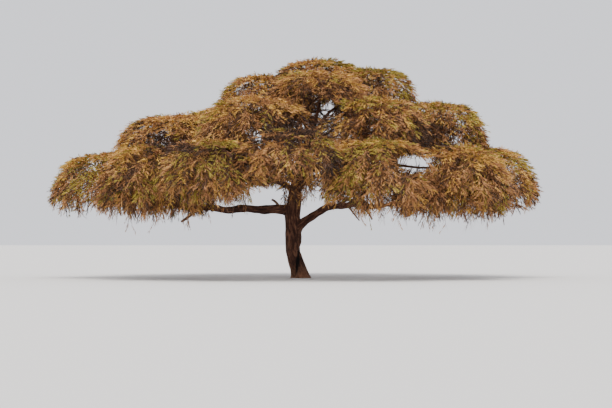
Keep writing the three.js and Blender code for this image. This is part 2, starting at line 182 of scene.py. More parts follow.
@dataclass(frozen=True)
class Station:
    """The trunk at one height: how far its middle leans in X and Y, and its radius."""

    z: float
    lean: tuple[float, float]
    radius: float


# A mass that falls further than this hangs deep, and one below this height is in the lowest tier.
DEEP_FALL = 1.6
LOW_TIER = 6.0


@dataclass(frozen=True)
class Mass:
    """One mass of the crown with the bough that carries it, and how much of it is green.

    It's half a round cushion above its middle and a squarer one below, and its bough leaves its parent at a
    share of the parent's length, with an arch up or down.
    """

    name: str
    parent: str
    share: float
    at: tuple[float, float, float]
    half: tuple[float, float]
    rise: float
    fall: float
    arch: float
    green: float

    @property
    def middle(self) -> np.ndarray:
        """Its middle."""
        return np.array(self.at)

    @property
    def deep(self) -> bool:
        """Whether it hangs far below its middle."""
        return self.fall > DEEP_FALL

    @property
    def shaded(self) -> float:
        """The share of its height below which its sprays are dealt darker tints as painted shade, the most
        where other masses crowd it.
        """
        return 0.3 if self.deep else 0.18 if self.at[2] < LOW_TIER else 0.38

    def around(self, turn: float) -> np.ndarray:
        """The level way from its middle to its edge, at a turn round it."""
        return np.array([self.half[0] * math.cos(turn), self.half[1] * math.sin(turn), 0.0])

    def level(self, points: np.ndarray, aside: float, above: float) -> np.ndarray:
        """How far out points lie in the mass.

        Args:
            points: The points.
            aside: How much wider all round the mass is taken to be.
            above: How much taller it is taken to be, above and below.

        Returns:
            For each point, 0 at the mass's middle and 1 on its surface.
        """
        off = points - self.middle
        across = np.hypot(off[:, 0] / (self.half[0] + aside), off[:, 1] / (self.half[1] + aside))
        below = off[:, 2] < 0
        power = np.where(below, 4.0, 2.0)
        up = np.abs(off[:, 2]) / (np.where(below, self.fall, self.rise) + above)
        return (across**power + up**power) ** (1 / power)


# The two low boughs are the oldest: thicker than their load alone gives, and slow to taper.
OLD_BOUGHS = {"rim_left": (1.27, 2.2), "rim_right_front": (1.42, 1.6)}

STATIONS = (
    Station(0, (0.04, 0), 0.47),
    Station(0.14, (0.03, 0), 0.41),
    Station(0.38, (-0.05, 0.01), 0.385),
    Station(0.75, (-0.19, 0.02), 0.39),
    Station(1.2, (-0.32, 0.04), 0.335),
    Station(1.9, (-0.3, 0.05), 0.36),
    Station(2.9, (-0.35, 0.03), 0.37),
    Station(3.4, (-0.27, 0.01), 0.335),
    Station(4.0, (-0.2, 0), 0.29),
    Station(4.9, (-0.05, 0.02), 0.24),
)
TRUNK_TOP = STATIONS[-1].z

CROWN = (
    Mass("rim_left", "trunk", 0.63, (-8.7, -0.4, 4.3), (2.75, 2.8), 1.45, 1.5, -0.1, 0.95),
    Mass("rim_left_front", "rim_left", 0.62, (-6.3, -4.2, 4.6), (2.7, 2.6), 1.3, 2.1, 0.14, 0.6),
    Mass("rim_left_back", "rim_left", 0.54, (-6.7, 4.4, 4.9), (2.8, 2.7), 1.3, 1.5, 0.1, 0.4),
    Mass("rim_right_front", "trunk", 0.42, (6.7, -4.0, 4.5), (2.7, 2.7), 1.4, 1.95, 0.28, 0.4),
    Mass("rim_front_right", "rim_right_front", 0.42, (3.3, -6.6, 4.8), (2.5, 2.4), 1.2, 2.1, 0.1, 0.5),
    Mass("rim_front", "trunk", 0.9, (-0.4, -7.2, 5.2), (2.5, 2.3), 1.2, 1.1, 0.25, 0.2),
    Mass("rim_front_left", "rim_front", 0.42, (-3.7, -6.5, 4.9), (2.4, 2.3), 1.1, 1.65, 0.1, 0.6),
    Mass("rim_back_left", "trunk", 0.78, (-3.8, 7.0, 5.3), (2.6, 2.5), 1.2, 1.2, 0.1, 0.35),
    Mass("rim_back", "rim_back_left", 0.5, (0.1, 7.9, 5.4), (2.5, 2.3), 1.2, 1.2, 0.1, 0.35),
    Mass("rim_back_right", "trunk", 0.84, (4.0, 7.1, 5.3), (2.6, 2.5), 1.2, 1.2, 0.1, 0.3),
    Mass("rim_right", "trunk", 0.95, (8.3, 0.3, 4.55), (2.75, 2.9), 1.5, 1.6, 0.3, 0.25),
    Mass("rim_right_back", "rim_right", 0.55, (7.0, 4.5, 5.0), (2.7, 2.6), 1.3, 1.4, 0.1, 0.3),
    Mass("upper_left", "trunk", 0.93, (-5.35, -0.4, 6.4), (3.15, 2.8), 1.05, 1.3, 0.1, 0.25),
    Mass("upper_front_left", "upper_left", 0.36, (-1.85, -3.9, 6.8), (2.7, 2.5), 1.2, 1.4, 0.1, 0.15),
    Mass("upper_back_left", "upper_left", 0.5, (-3.5, 3.9, 6.9), (2.8, 2.6), 1.2, 1.3, 0.1, 0.3),
    Mass("upper_right", "rim_right", 0.34, (6.15, -0.5, 6.75), (2.45, 2.7), 1.3, 1.4, 0.1, 0.5),
    Mass("upper_front_right", "trunk", 0.985, (3.1, -4.0, 6.6), (2.7, 2.5), 1.4, 1.4, 0.1, 0.3),
    Mass("upper_back_right", "rim_back_right", 0.45, (4.5, 4.0, 6.9), (2.7, 2.6), 1.2, 1.3, 0.1, 0.3),
    Mass("top_middle", "trunk", 1, (0.9, 0.1, 8.7), (2.4, 2.5), 1.36, 1.1, 0, 0.5),
    Mass("top_left", "top_middle", 0.5, (-1.7, 0.3, 8.15), (2.1, 2.5), 1.2, 1.1, 0.1, 0.1),
    Mass("top_right", "top_middle", 0.36, (3.25, 0.2, 8.45), (2.2, 2.5), 1.2, 1.1, 0.1, 1.1),
    Mass("top_front", "top_middle", 0.6, (0.8, -2.9, 8.1), (2.4, 2.1), 1.15, 0.9, 0.1, 0.25),
    Mass("top_back", "top_middle", 0.7, (0.7, 3.5, 8.0), (2.5, 2.3), 1.2, 1.1, 0.1, 0.35),
    Mass("inner_front", "trunk", 0.72, (-0.35, -1.5, 4.2), (1.1, 0.9), 0.9, 1.0, 0.1, 0.1),
)


@dataclass(frozen=True)
class Snag:
    """A dead stub: the bough and share that it leaves, where it ends, its radii and how far it bends."""

    name: str
    parent: str
    share: float
    to: tuple[float, float, float]
    radii: tuple[float, float]
    bend: tuple[float, float, float]


SNAGS = (
    Snag("snag_left_hook", "rim_left", 0.08, (-1.3, -0.1, 3.6), (0.075, 0.05), (0.06, 0, 0.14)),
    Snag("snag_left_drooping", "rim_left", 0.65, (-5.42, -0.4, 2.58), (0.085, 0.05), (-0.1, 0, -0.17)),
    Snag("snag_right", "rim_right_front", 0.48, (2.68, -1.5, 2.62), (0.055, 0.03), (-0.12, 0, 0.1)),
    Snag("snag_right_outer", "rim_right_front", 0.62, (3.24, -1.95, 2.66), (0.055, 0.04), (-0.05, 0, 0)),
)


@dataclass(frozen=True)
class Window:
    """A place of the crown as seen from its front: its middle and half-widths in X and Z."""

    at: tuple[float, float]
    half: tuple[float, float]

    def holds(self, points: np.ndarray, room: np.ndarray | float) -> np.ndarray:
        """Which points lie on a line of sight through the window.

        Args:
            points: The points.
            room: How large the window is taken to be, as a share of its own size.

        Returns:
            Whether each point does.
        """
        share = -VIEWPOINT[1] / (points[:, 1] - VIEWPOINT[1])
        seen = VIEWPOINT + (points - VIEWPOINT) * share[:, None]
        across = (seen[:, 0] - self.at[0]) / self.half[0]
        up = (seen[:, 2] - self.at[1]) / self.half[1]
        return np.hypot(across, up) < room


# The windows are open all through the crown, and the hollows are places, seen from the front, where the
# leaves are dealt umber and shade tints as painted shade.
WINDOWS = (
    Window((5.4, 5.2), (0.95, 0.42)),
    Window((1.3, 7.82), (0.5, 0.36)),
    Window((-1.9, 6.4), (0.25, 0.36)),
    Window((-1.75, 3.85), (0.75, 0.38)),
    Window((1.9, 3.15), (0.75, 0.4)),
)
PAINTED_SHADE_HOLLOWS = (
    Window((1.4, 7.4), (0.8, 0.5)),
    Window((0.2, 6.75), (1.5, 0.4)),
    Window((-0.9, 6.3), (1.0, 0.25)),
    Window((-5.9, 5.8), (0.95, 0.3)),
    Window((-3.7, 5.65), (0.9, 0.25)),
    Window((6.2, 6.3), (0.9, 0.28)),
    Window((1.6, 5.0), (0.6, 0.2)),
)


@dataclass(frozen=True)
class SideBranch:
    """A bare branch that shows through a window.

    It leaves its parent at a share of the parent's length, and takes its course from there.
    """

    parent: str
    share: float
    course: tuple[tuple[float, float, float], ...]
    radii: tuple[float, float] = (0.1, 0.05)
    twigs: int = 9
    twig_reach: tuple[float, float, float] = (0.22, 0.15, 0.3)
    twig_arch: float = 0.06
    twig_radii: tuple[float, float, float] = (0.012, 0.009, 0.0)


SIDE_BRANCH = SideBranch("rim_right", 0.42, ((4.4, 0.1, 5.75), (5.3, 0.0, 4.6), (6.9, 0.1, 5.3)))


@dataclass
class Limb:
    """A limb's middle line and radius, with the same rings as its solid."""

    name: str
    curve: Callable[[float], np.ndarray]
    radius_at: Callable[[float], float]
    steps: int
    rings: list[tuple[np.ndarray, np.ndarray, float]] = field(default_factory=list)

    def __post_init__(self) -> None:
        """Works out the rings where none are given."""
        if self.rings:
            return
        step = 1e-3
        for i in range(self.steps + 1):
            share = i / self.steps
            along = self.curve(min(1, share + step)) - self.curve(max(0, share - step))
            self.rings.append((self.curve(share), unit(along), self.radius_at(share)))

    def place(self, share: float) -> tuple[np.ndarray, np.ndarray, float]:
        """A place on the limb, between its rings.

        Args:
            share: The share of the limb's length where it is.

        Returns:
            Its point, direction and radius.
        """
        low = min(int(share * self.steps), self.steps - 1)
        between = share * self.steps - low
        (p0, d0, r0), (p1, d1, r1) = self.rings[low], self.rings[low + 1]
        return lerp(p0, p1, between), unit(lerp(d0, d1, between)), lerp(r0, r1, between)

    def line(self, count: int, start: float = 0.0) -> tuple[np.ndarray, np.ndarray]:
        """Points and radii evenly along the limb's smooth curve, from one share to its end."""
        shares = np.linspace(start, 1, count)
        return np.array([self.curve(s) for s in shares]), np.array([self.radius_at(s) for s in shares])

    @property
    def length(self) -> float:
        """The length of the limb's middle line."""
        points = self.line(24)[0]
        return float(np.linalg.norm(np.diff(points, axis=0), axis=1).sum())


@dataclass(frozen=True)
class TrunkForm:
    """The trunk's outline: winding flutes and the hollow cleft that winds up its front."""

    steps: int = 13
    flutes: int = 4
    flute_depth: float = 0.045
    flute_foot: float = 1.3
    flute_twist: float = 0.9
    cleft_angle: float = -2.6
    cleft_twist: float = 1.75
    cleft_half_angle: float = 0.3
    cleft_depth: float = 0.36
    cleft_bottom: float = -0.1
    cleft_top: float = 1.75
    cleft_reach: float = 0.6

    @staticmethod
    def value(z: float, read: Callable[[Station], float]) -> float:
        """A value of the trunk at a height, between its stations."""
        return float(np.interp(z, [s.z for s in STATIONS], [read(s) for s in STATIONS]))

    def middle(self, z: float) -> np.ndarray:
        """The middle of the trunk at a height."""
        return np.array([self.value(z, lambda s: s.lean[0]), self.value(z, lambda s: s.lean[1]), z])

    def limb(self) -> Limb:
        """The trunk as a limb, in level rings.

        Returns:
            The limb.
        """
        rings = []
        for i in range(self.steps + 1):
            z = TRUNK_TOP * i / self.steps
            rings.append((self.middle(z), UP, self.value(z, lambda s: s.radius)))
        return Limb(
            "trunk",
            lambda share: self.middle(TRUNK_TOP * share),
            lambda share: self.value(TRUNK_TOP * share, lambda s: s.radius),
            self.steps,
            rings,
        )

    def cleft(self, z: np.ndarray, angle: np.ndarray) -> np.ndarray:
        """How deep in the cleft places on the trunk lie.

        Args:
            z: Their heights.
            angle: Their angles round the trunk.

        Returns:
            From 0 outside the cleft to 1 in its middle.
        """
        middle = (self.cleft_bottom + self.cleft_top) / 2
        opening = np.sqrt(np.maximum(0, 1 - np.abs(z - middle) / (self.cleft_top - middle)))
        off = angle - self.cleft_angle - self.cleft_twist * z
        turn = np.arctan2(np.sin(off), np.cos(off))
        return opening * np.exp(-((turn / self.cleft_half_angle) ** 2))

    def shape(self, z: np.ndarray, angle: np.ndarray) -> np.ndarray:
        """The share of its radius that the trunk has.

        Args:
            z: Heights.
            angle: Angles round the trunk.

        Returns:
            The shares there.
        """
        wave = np.cos(self.flutes * (angle - self.flute_twist * z))
        flute = self.flute_depth * (self.flute_foot - z / TRUNK_TOP) * wave
        return 1 + flute - self.cleft_depth * self.cleft(z, angle)

    def hollow(self, points: np.ndarray) -> np.ndarray:
        """How deep in the cleft points of the wood lie, for the shade that is painted there.

        Args:
            points: The points.

        Returns:
            The depths, with none away from the trunk.
        """
        heights = [s.z for s in STATIONS]
        x = points[:, 0] - np.interp(points[:, 2], heights, [s.lean[0] for s in STATIONS])
        y = points[:, 1] - np.interp(points[:, 2], heights, [s.lean[1] for s in STATIONS])
        return self.cleft(points[:, 2], np.arctan2(y, x)) * (np.hypot(x, y) < self.cleft_reach)


@dataclass(frozen=True)
class GrowthRule:
    """How boughs reach their masses, as in the solids, and how a mass divides into finer and finer wood."""

    # A bough's thickness and its line.
    bough_seed: int = 100
    bough_radius: float = 0.022
    bough_radius_per_load: float = 0.074
    bough_tip_radius: float = 0.055
    bough_taper: float = 1.2
    bough_step: float = 0.9
    bough_steps: tuple[int, int] = (4, 8)
    collar: float = 0.2
    collar_fade: float = 12
    leave_with_parent: float = 0.25
    leave_upwards: float = 2
    arrive_straight: float = 0.8
    handles: tuple[float, float] = (0.38, 0.34)
    waver: float = 0.022
    waves: tuple[float, float] = (1.5, 2.5)
    bough_inward: float = 0.68
    bough_down: float = 0.5
    # A mass's stem and main twigs.
    head_inward: float = 0.25
    head_down: float = 0.15
    overhead: float = 1.5
    stem_radii: tuple[float, float] = (0.055, 0.045)
    stem_root: float = 0.02
    stem_bend: float = 0.4
    twig_count: int = 5
    twig_jitter: float = 0.15
    twig_reach: float = 0.72
    twig_height: float = -0.3
    twig_arch: float = 0.3
    twig_arch_at: float = 0.55
    twig_radii: tuple[float, float] = (0.042, 0.016)
    twig_taper: float = 0.7
    # The dome that the branchlets and sprays follow.
    dome_height: float = 0.99
    droop_from: float = 0.62
    droop: float = 0.62
    droop_power: float = 1.8

    def inward(self, mass: Mass) -> np.ndarray:
        """The level direction from a mass to the top of the trunk.

        Args:
            mass: The mass.

        Returns:
            The direction, or none for a mass right over the trunk.
        """
        towards = np.array([STATIONS[-1].lean[0], 0, 0]) - mass.middle
        towards[2] = 0
        return unit(towards) if np.linalg.norm(towards) > self.overhead else np.zeros(3)

    def inside(self, mass: Mass, inward: float, down: float) -> np.ndarray:
        """A place inside a mass, by shares of its half-width towards the trunk and of its fall."""
        towards = self.inward(mass) * inward * mass.half[0]
        return mass.middle + towards - UP * down * mass.fall

    def bough_end(self, mass: Mass) -> np.ndarray:
        """Where a mass's bough ends and its stem begins."""
        return self.inside(mass, self.bough_inward, self.bough_down)

    def head(self, mass: Mass) -> np.ndarray:
        """Where the stem of a mass divides."""
        return self.inside(mass, self.head_inward, self.head_down)

    def load(self, name: str) -> int:
        """How many masses a bough carries, with those of the boughs that leave it."""
        return 1 + sum(self.load(row.name) for row in CROWN if row.parent == name)

    def bough(self, mass: Mass, index: int, limbs: dict[str, Limb]) -> Limb:
        """The bough of a mass.

        Args:
            mass: The mass at the bough's end.
            index: The mass's row, which seeds the bough's waver.
            limbs: The limbs so far, by name.

        Returns:
            The bough.
        """
        start_point, parent_along, _ = limbs[mass.parent].place(mass.share)
        end_point = self.bough_end(mass)
        way = end_point - start_point
        reach = float(np.linalg.norm(way))
        way = way / reach
        start = unit(way + self.leave_with_parent * parent_along + self.leave_upwards * mass.arch * UP)
        end = unit(unit(self.head(mass) - end_point) + self.arrive_straight * way - mass.arch * UP)
        first, last = self.handles
        points = [start_point, start_point + first * reach * start, end_point - last * reach * end, end_point]
        random = SeededRandom(self.bough_seed + index)
        side = unit(np.cross(way, UP))
        sway = lerp(-self.waver, self.waver, random()) * reach
        lift = lerp(-self.waver, self.waver, random()) * reach
        waves = lerp(*self.waves, random())

        def curve(share: float) -> np.ndarray:
            """The bough's middle line."""
            waver = math.sin(math.pi * share) * math.sin(waves * math.pi * share)
            return bezier(points, share) + side * sway * waver + UP * lift * waver

        girth, taper = OLD_BOUGHS.get(mass.name, (1.0, self.bough_taper))
        root = girth * (self.bough_radius + self.bough_radius_per_load * math.sqrt(self.load(mass.name)))

        def radius_at(share: float) -> float:
            """The bough's radius."""
            collar = 1 + self.collar * math.exp(-self.collar_fade * share)
            return lerp(root, self.bough_tip_radius, share**taper) * collar

        steps = min(max(round(reach / self.bough_step), self.bough_steps[0]), self.bough_steps[1])
        return Limb(mass.name, curve, radius_at, steps)

    def stem(self, mass: Mass, bough: Limb) -> Limb:
        """The stem of a mass, from its bough's tip to its head.

        Args:
            mass: The mass.
            bough: Its bough.

        Returns:
            The stem.
        """
        tip, along, _ = bough.rings[-1]
        head = self.head(mass)
        bend = tip + self.stem_bend * np.linalg.norm(head - tip) * along
        points = [tip - self.stem_root * along, bend, head]
        return Limb("stem", lambda s: bezier(points, s), lambda s: lerp(*self.stem_radii, s), 4)

    def main_twigs(self, mass: Mass, random: SeededRandom) -> list[Limb]:
        """The main twigs of a mass, fanned out from its head by the seeded rule.

        Args:
            mass: The mass.
            random: The mass's own generator.

        Returns:
            The twigs.
        """
        head = self.head(mass)
        first = FULL_TURN * random()
        twigs = []
        for i in range(self.twig_count):
            jitter = lerp(-self.twig_jitter, self.twig_jitter, random())
            turn = first + FULL_TURN * (i + jitter) / self.twig_count
            x, y = math.cos(turn) * self.twig_reach, math.sin(turn) * self.twig_reach
            end = mass.middle + (mass.half[0] * x, mass.half[1] * y, mass.fall * self.twig_height)
            over = lerp(head, end, self.twig_arch_at) + UP * self.twig_arch * mass.rise
            twigs.append(
                Limb(
                    "twig",
                    lambda s, over=over, end=end: bezier([head, over, end], s),
                    lambda s: lerp(*self.twig_radii, s**self.twig_taper),
                    6,
                )
            )
        return twigs

    def dome(self, mass: Mass, reach: float, turn: float) -> np.ndarray:
        """A place on the dome over a mass, which weeps at its edge.

        Args:
            mass: The mass.
            reach: The share of the mass's half-widths where the place is.
            turn: The turn round the mass where it is.

        Returns:
            The place.
        """
        droop = max(0.0, (reach - self.droop_from) / (1 - self.droop_from)) ** self.droop_power
        height = mass.rise * self.dome_height * math.sqrt(1 - reach * reach) - mass.fall * self.droop * droop
        return mass.middle + (mass.around(turn) * reach + UP * height)


class Tint(Enum):
    """The colours that the leaves of a spray may have; umber and shade go mostly to low, inner and hollow
    places as painted shade.
    """

    OLIVE = "olive"
    GOLD = "gold"
    OCHRE = "ochre"
    RUST = "rust"
    UMBER = "umber"
    SHADE = "shade"


@dataclass(frozen=True)
class Colour:
    """A plain colour as red, green and blue on the linear scale."""

    red: float
    green: float
    blue: float

    @property
    def rgba(self) -> tuple[float, float, float, float]:
        """The colour as a socket takes it."""
        return (self.red, self.green, self.blue, 1.0)

    @staticmethod
    def screen(red: int, green: int, blue: int) -> "Colour":
        """The linear colour of a screen colour from 0 to 255."""
        shares = [part / 255 for part in (red, green, blue)]
        return Colour(*[((s + 0.055) / 1.055) ** 2.4 if s > 0.04 else s / 12.92 for s in shares])


class Value:
    """A shader value: wraps a socket, so that sums written in Python add Math nodes."""

    def __init__(self, shader: "Shader", socket: bpy.types.NodeSocket) -> None:
        """Wraps a socket of a shader."""
        self.shader = shader
        self.socket = socket

    def _with(self, operation: str, other: "Value | float", swap: bool = False) -> "Value":
        """The result of a Math node on this value and another, in either order."""
        pair = (other, self) if swap else (self, other)
        return self.shader.node("ShaderNodeMath", {"operation": operation}, {0: pair[0], 1: pair[1]})

    def __add__(self, other: "Value | float") -> "Value":
        """The sum."""
        return self._with("ADD", other)

    __radd__ = __add__

    def __sub__(self, other: "Value | float") -> "Value":
        """This value less the other."""
        return self._with("SUBTRACT", other)

    def __rsub__(self, other: "Value | float") -> "Value":
        """The other less this value."""
        return self._with("SUBTRACT", other, swap=True)

    def __mul__(self, other: "Value | float") -> "Value":
        """The product."""
        return self._with("MULTIPLY", other)

    __rmul__ = __mul__

    def between(self, low: float, high: float) -> "Value":
        """The share, from 0 to 1, of the way from low to high, smoothed."""
        sockets = {"Value": self, "From Min": low, "From Max": high}
        return self.shader.node("ShaderNodeMapRange", {"interpolation_type": "SMOOTHSTEP"}, sockets)


class Shader:
    """A material built from nodes round one Principled BSDF."""

    def __init__(self, name: str) -> None:
        """Makes an empty material with its surface shader.

        Args:
            name: The material's name.
        """
        self.material = bpy.data.materials.new(name)
        self.material.use_nodes = True
        self.tree = self.material.node_tree
        self.surface = self.tree.nodes["Principled BSDF"]

    def node(self, kind: str, settings: dict, sockets: dict, out: int | str = 0) -> Value:
        """Adds a node.

        Args:
            kind: The node's type.
            settings: Its properties, which are set first; stops gives a ramp's places and colours.
            sockets: Its inputs' values or the values that feed them.
            out: The output that is wanted.

        Returns:
            The output's value.
        """
        made = self.tree.nodes.new(kind)
        for key, value in settings.items():
            if key == "stops":
                self._stops(made.color_ramp, value)
            else:
                setattr(made, key, value)
        for key, value in sockets.items():
            self._feed(made.inputs[key], value)
        return Value(self, made.outputs[out])

    @staticmethod
    def _stops(ramp: bpy.types.ColorRamp, stops: list[tuple[float, Colour]]) -> None:
        """Sets a ramp's stops.

        Args:
            ramp: The ramp.
            stops: The place and colour of each.
        """
        while len(ramp.elements) < len(stops):
            ramp.elements.new(0.5)
        for element, (place, colour) in zip(ramp.elements, stops):
            element.position = place
            element.color = colour.rgba

    def _feed(self, socket: bpy.types.NodeSocket, value: "Value | Colour | float | tuple") -> None:
        """Links or sets one input.

        Args:
            socket: The input.
            value: What feeds it, or what it is set to.
        """
        if isinstance(value, Value):
            self.tree.links.new(value.socket, socket)
        else:
            socket.default_value = value.rgba if isinstance(value, Colour) else value

    def set(self, name: str, value: "Value | Colour | float") -> None:
        """Feeds an input of the surface shader."""
        self._feed(self.surface.inputs[name], value)

    def place(self) -> Value:
        """The point on the surface, in the tree's own space."""
        return self.node("ShaderNodeTexCoord", {}, {}, "Object")

    def attribute(self, name: str, out: str = "Vector") -> Value:
        """A value that the mesh carries, a vector if nothing else is named."""
        return self.node("ShaderNodeAttribute", {"attribute_name": name}, {}, out)

    def stretched(self, point: Value, scale: tuple[float, float, float]) -> Value:
        """A point with each of its parts scaled."""
        return self.node("ShaderNodeMapping", {}, {"Vector": point, "Scale": scale})

    def noise(self, point: Value, scale: float, detail: float = 3, roughness: float = 0.55) -> Value:
        """Noise from 0 to 1 round about a half."""
        sockets = {"Vector": point, "Scale": scale, "Detail": detail, "Roughness": roughness}
        return self.node("ShaderNodeTexNoise", {}, sockets, "Fac")

    def ramp(self, value: Value, stops: list[tuple[float, Colour]]) -> Value:
        """A colour for each value."""
        return self.node("ShaderNodeValToRGB", {"stops": stops}, {"Fac": value}, "Color")

    def blend(self, share: Value, first: "Value | Colour", second: "Value | Colour") -> Value:
        """A mix of two colours."""
        settings = {"data_type": "RGBA"}
        return self.node("ShaderNodeMix", settings, {0: share, 6: first, 7: second}, 2)

    def height_of(self, point: Value) -> Value:
        """The third part of a point."""
        return self.node("ShaderNodeSeparateXYZ", {}, {0: point}, "Z")

    def bump(self, height: Value, distance: float, strength: float) -> None:
        """Gives the surface a fine relief."""
        sockets = {"Height": height, "Distance": distance, "Strength": strength}
        self.set("Normal", self.node("ShaderNodeBump", {}, sockets, "Normal"))


@dataclass(frozen=True)
class BarkFinish:
    """Rough fissured bark, dark in its fissures, with painted shade in the trunk's hollow cleft and dust on
    its foot.
    """

    name: str
    fissure: Colour
    body: Colour
    crest: Colour
    dust: Colour
    hollow: Colour
    dust_height: float = 0.7
    dust_share: float = 0.6
    plate: float = 1.0
    crack_pitch: tuple[float, float, float] = (14, 14, 2.2)
    fine_pitch: tuple[float, float, float] = (60, 60, 9)
    crack_share: float = 0.7
    patch_pitch: float = 1.7
    relief: tuple[float, float] = (0.03, 0.8)

    def build(self) -> bpy.types.Material:
        """Builds the finish on the grain and the cleft's depth that the mesh carries, with painted shade in
        the cleft.

        Returns:
            The material.
        """
        s = Shader(self.name)
        grain = s.attribute("grain")
        across, other, along = self.crack_pitch
        crack = s.noise(s.stretched(grain, (across / self.plate, other / self.plate, along)), 1.0, 4, 0.6)
        fine = s.noise(s.stretched(grain, self.fine_pitch), 1.0, 3, 0.6)
        patch = s.noise(s.place(), self.patch_pitch, 3)
        depth = crack * self.crack_share + fine * (1 - self.crack_share)
        stops = [(0.32, self.fissure), (0.5, self.body), (0.66, self.crest)]
        colour = s.ramp(depth + (patch - 0.5) * 0.35, stops)
        foot = 1 - (s.height_of(s.place()) + (patch - 0.5) * 0.8).between(0.02, self.dust_height)
        colour = s.blend(foot * self.dust_share * depth.between(0.3, 0.6), colour, self.dust)
        # The cleft is painted dark where it is deepest: painted shade.
        s.set("Base Color", s.blend(s.attribute("hollow", "Fac").between(0.3, 0.75), colour, self.hollow))
        s.set("Roughness", 0.85 + 0.12 * patch)
        s.set("Specular IOR Level", 0.25)
        s.bump(depth, *self.relief)
        return s.material


@dataclass(frozen=True)
class MottledFinish:
    """A matt finish whose colour drifts from place to place, with fine flecks in it.

    Its colours run from the darkest to the lightest, and its spread is how far they are apart.
    """

    name: str
    colours: tuple[Colour, ...]
    drift_pitch: float
    fleck_pitch: float
    drift_share: float
    spread: float
    roughness: tuple[float, float]
    relief: tuple[float, float]

    def build(self) -> bpy.types.Material:
        """Builds the finish.

        Returns:
            The material.
        """
        s = Shader(self.name)
        drift = s.noise(s.place(), self.drift_pitch, 2)
        fleck = s.noise(s.place(), self.fleck_pitch, 2)
        value = drift * self.drift_share + fleck * (1 - self.drift_share)
        places = [0.5 + self.spread * share for share in np.linspace(-1, 1, len(self.colours))]
        s.set("Base Color", s.ramp(value, list(zip(places, self.colours))))
        s.set("Roughness", self.roughness[0] + self.roughness[1] * fleck)
        s.set("Specular IOR Level", 0.3)
        s.bump(fleck, *self.relief)
        return s.material


@dataclass(frozen=True)
class TwigFinish(MottledFinish):
    """Fine wood, a little lighter on its young ends."""

    drift_pitch: float = 2.3
    fleck_pitch: float = 38
    drift_share: float = 0.6
    spread: float = 0.12
    roughness: tuple[float, float] = (0.75, 0.2)
    relief: tuple[float, float] = (0.004, 0.5)


@dataclass(frozen=True)
class LeafFinish(MottledFinish):
    """Tiny matt leaves."""

    drift_pitch: float = 0.9
    fleck_pitch: float = 16
    drift_share: float = 0.55
    spread: float = 0.14
    roughness: tuple[float, float] = (0.6, 0.3)
    relief: tuple[float, float] = (0.006, 0.4)


def screens(*colours: tuple[int, int, int]) -> tuple[Colour, ...]:
    """The linear colours of some screen colours."""
    return tuple(Colour.screen(*colour) for colour in colours)


# The bark's colours are dark, partly its own dark brown and partly painted shade from the crown over it; the
# last, near black, is the painted shade in the cleft.
BARK = BarkFinish("bark", *screens((24, 13, 10), (68, 42, 32), (122, 86, 66), (128, 92, 68), (13, 8, 7)))
DEAD_WOOD = BarkFinish(
    "dead_wood",
    *screens((60, 42, 34), (112, 84, 66), (150, 122, 98), (150, 122, 98), (60, 42, 34)),
    plate=0.6,
)
BRANCH = TwigFinish("branch", screens((62, 40, 30), (112, 78, 55)))
TWIGS = {
    "dark": TwigFinish("twig_dark", screens((84, 54, 34), (140, 96, 58))),
    "light": TwigFinish("twig_light", screens((150, 100, 52), (205, 150, 88))),
}
LEAVES = {
    Tint.OLIVE: LeafFinish("leaf_olive", screens((101, 92, 36), (150, 132, 50), (187, 166, 71))),
    Tint.GOLD: LeafFinish("leaf_gold", screens((158, 116, 48), (198, 152, 69), (229, 187, 101))),
    Tint.OCHRE: LeafFinish("leaf_ochre", screens((142, 97, 53), (179, 129, 74), (211, 164, 105))),
    Tint.RUST: LeafFinish("leaf_rust", screens((114, 75, 46), (156, 108, 68), (188, 140, 94))),
    # Umber and shade leaves are dealt mostly to shaded places: painted shade.
    Tint.UMBER: LeafFinish("leaf_umber", screens((54, 37, 28), (79, 55, 41), (104, 78, 59))),
    Tint.SHADE: LeafFinish("leaf_shade", screens((28, 19, 15), (44, 31, 25), (63, 46, 37))),
}

# A twig's kind is the place of its leaves' colour in Tint, or this where it bears none.
BARE = -1

# No piece has more triangles than this.
MOST_TRIANGLES = 190_000

# The solids that every leafy piece stands for together.
FOLIAGE_NODES = ["foliage_" + mass.name for mass in CROWN]


def finish_piece(
    piece: bpy.types.Object, finish: BarkFinish | MottledFinish, nodes: Iterable[str]
) -> None:
    """Gives a piece its material and ties it to the frame.

    Args:
        piece: The piece.
        finish: Its finish.
        nodes: The solids that it stands for.
    """
    piece.data.materials.append(finish.build())
    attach(piece, BODY)
    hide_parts(*nodes)
    LOG.info("%s: %d faces", piece.name, len(piece.data.polygons))


def add_object(name: str, data: bpy.types.ID) -> bpy.types.Object:
    """Adds an object to the scene, at the origin.

    Args:
        name: Its name.
        data: Its mesh, light or camera.

    Returns:
        The object.
    """
    made = bpy.data.objects.new(name, data)
    bpy.context.scene.collection.objects.link(made)
    return made


def frames_along(points: np.ndarray) -> tuple[np.ndarray, np.ndarray, np.ndarray]:
    """The direction of a line at each of its points, with two directions across it that don't twist.

    Args:
        points: The n points of the line.

    Returns:
        The directions along, and the two across.
    """
    along = unit(np.gradient(points, axis=0))
    first = np.cross(along[0], UP if abs(along[0][2]) < 0.9 else np.array([0.0, 1.0, 0.0]))
    across = [unit(first)]
    for direction in along[1:]:
        last = across[-1]
        across.append(unit(last - direction * np.dot(last, direction)))
    across = np.array(across)
    return along, across, np.cross(along, across)


def nearest_on(points: np.ndarray, starts: np.ndarray, ways: np.ndarray) -> tuple[np.ndarray, np.ndarray]:
    """How each point lies to each of some straight stretches.

    Args:
        points: n points.
        starts: The starts of m stretches.
        ways: The ways from their starts to their ends.

    Returns:
        The n by m shares along the stretches where they come nearest, and the distances there.
    """
    off = points[:, None] - starts[None]
    lengths = np.maximum((ways**2).sum(1), 1e-9)
    share = np.clip((off * ways[None]).sum(2) / lengths, 0, 1)
    return share, np.linalg.norm(off - ways[None] * share[..., None], axis=2)


